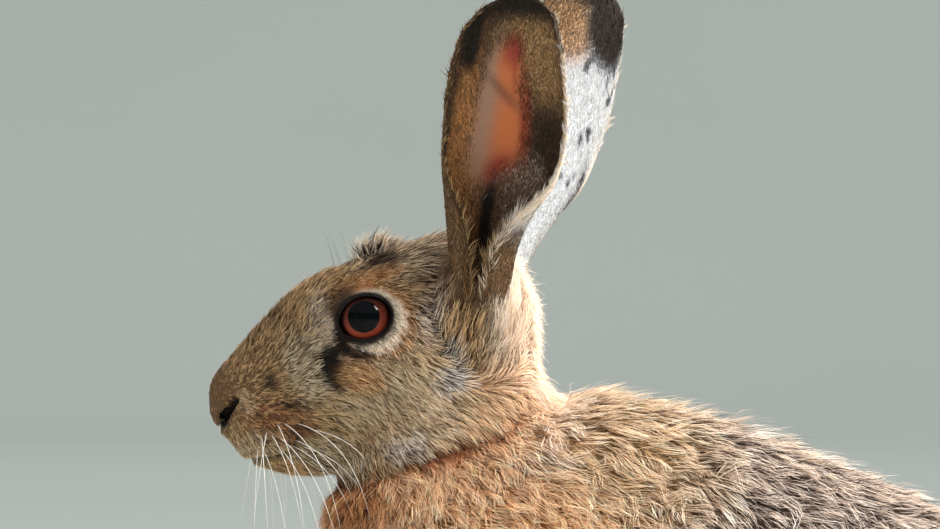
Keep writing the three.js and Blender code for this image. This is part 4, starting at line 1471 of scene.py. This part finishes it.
class HARE_OT_whiskers(bpy.types.Operator):
    """Long pale whiskers that droop from the pads, and thin dark hairs over the eyes"""

    bl_idname = "hare.whiskers"
    bl_label = "Set whiskers"

    # Millimetres: the hairs' radius, and how deep they are rooted
    whisker_radius, brow_radius = 0.125, 0.07
    whisker_sunk, brow_sunk = 1.0, 0.5
    pad_rows = (-37.5, -42.0, -46.0)
    brow_roots = ((-10.5, 12.5), (-8.0, 13.5), (-5.0, 13.0))

    def execute(self, context):
        rng = np.random.default_rng(context.scene.hare_coat.seed + 2)
        look, brow_look = whisker_material(), brow_material()
        skin = bpy.data.objects["skin"]
        for side in SIDES:
            lines = self.pad(skin, SIGN[side], rng)
            self.hairs(f"whiskers_{side}", lines, self.whisker_radius, look)
            self.hairs(f"brow_{side}", self.brow(skin, SIGN[side], rng), self.brow_radius, brow_look)
        return {"FINISHED"}

    def hairs(self, name, lines, radius, look):
        points, triangles = tubes(lines, radius * MM, 5)
        piece = new_piece(name, points, triangles, look)
        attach(piece, "root")

    def on_skin(self, skin, sign, behind, above):
        """The point of the skin at a place of the head's side, or None."""
        start = Vector(place(behind, sign * 60, above))
        hit, at, _, _ = skin.ray_cast(start, Vector((0, -sign, 0)))
        return np.array(at) if hit else None

    def pad(self, skin, sign, rng):
        """Rows of whiskers from front to back of one pad."""
        lines = []
        for row, height in enumerate(self.pad_rows):
            for i in range(5 - row % 2):
                behind = -36 + 4.3 * i - 1.2 * row + rng.normal() * 0.9
                root = self.on_skin(skin, sign, behind, height + rng.normal() * 0.8)
                if root is not None:
                    lines.append(self.whisker(root, sign, i, row, rng))
        return lines

    def whisker(self, root, sign, i, row, rng):
        """A line from the root that leaves backwards and bows down."""
        length = 26 + 10 * i + 3 * row + rng.normal() * 5
        back = -0.10 + 0.34 * i + 0.10 * rng.normal()
        heading = (back, sign * 0.45, -0.50 + 0.09 * i - 0.1 * row)
        fall = (-0.13 * i, -sign * 0.22, -0.24 - 0.13 * i)
        return self.bowed(root, heading, fall, length, 17, self.whisker_sunk)

    def bowed(self, root, heading, bow, length, stops, sunk):
        """A line that leaves the root along its heading and is drawn aside by its bow."""
        heading = unit(np.array(heading))
        s = np.linspace(0, 1, stops)[:, None]
        return root + (heading * s + np.array(bow) * s**2) * length * MM - heading * sunk * MM

    def brow(self, skin, sign, rng):
        """A few long hairs that stand over the eye."""
        lines = []
        for behind, above in self.brow_roots:
            root = self.on_skin(skin, sign, behind, above)
            if root is not None:
                length = 19 + rng.normal() * 2
                heading = (-0.10 + 0.05 * rng.normal(), sign * 0.35, 1.0)
                bow = (-0.16, sign * 0.10, -0.04)
                lines.append(self.bowed(root, heading, bow, length, 11, self.brow_sunk))
        return lines


def tubes(lines, radius, sides):
    """Thin round tubes along lines of points, tapered to a point."""
    points, triangles = [], []
    start = 0
    for line in lines:
        run = unit(np.gradient(line, axis=0))
        across = unit(np.cross(run, (0.31, 0.94, 0.12)))
        up = np.cross(run, across)
        turn = np.linspace(0, 2 * math.pi, sides, endpoint=False)
        size = radius * (1 - np.linspace(0, 1, len(line)) ** 1.3 * 0.85)
        ring = across[:, None] * np.cos(turn)[None, :, None] + up[:, None] * np.sin(turn)[None, :, None]
        points += [(line[:, None] + ring * size[:, None, None]).reshape(-1, 3), line[[0, -1]]]
        last = start + len(line) * sides
        for j in range(sides):
            k = (j + 1) % sides
            for i in range(len(line) - 1):
                a, b = start + i * sides + j, start + i * sides + k
                triangles += [(a, b, b + sides), (a, b + sides, a + sides)]
            triangles += [(last, start + k, start + j), (last + 1, last - sides + j, last - sides + k)]
        start = last + 2
    return np.concatenate(points), np.array(triangles)


class HARE_PT_panel(bpy.types.Panel):
    """Lists the hare's settings, and its pieces in the order they are made"""

    bl_idname = "HARE_PT_panel"
    bl_label = "Brown hare"
    bl_space_type = "VIEW_3D"
    bl_region_type = "UI"
    bl_category = "Hare"

    def draw(self, context):
        for settings in (context.scene.hare_coat, context.scene.hare_colours, context.scene.hare_stage):
            box = self.layout.box()
            for name in settings.__annotations__:
                box.prop(settings, name)
        for step in STEPS:
            self.layout.operator(step.bl_idname)


STEPS = (HARE_OT_stage, HARE_OT_skin, HARE_OT_eyes, HARE_OT_claws, HARE_OT_coat, HARE_OT_whiskers)
CLASSES = (HareCoat, HareColours, HareStage, *STEPS, HARE_PT_panel)


def register():
    for cls in CLASSES:
        bpy.utils.register_class(cls)
    bpy.types.Scene.hare_coat = PointerProperty(type=HareCoat)
    bpy.types.Scene.hare_colours = PointerProperty(type=HareColours)
    bpy.types.Scene.hare_stage = PointerProperty(type=HareStage)


def unregister():
    del bpy.types.Scene.hare_coat, bpy.types.Scene.hare_colours, bpy.types.Scene.hare_stage
    for cls in reversed(CLASSES):
        bpy.utils.unregister_class(cls)


def main():
    register()
    bpy.ops.hare.stage()
    bpy.ops.hare.skin()
    bpy.ops.hare.eyes()
    bpy.ops.hare.claws()
    bpy.ops.hare.coat()
    bpy.ops.hare.whiskers()


if __name__ == "__main__":
    main()
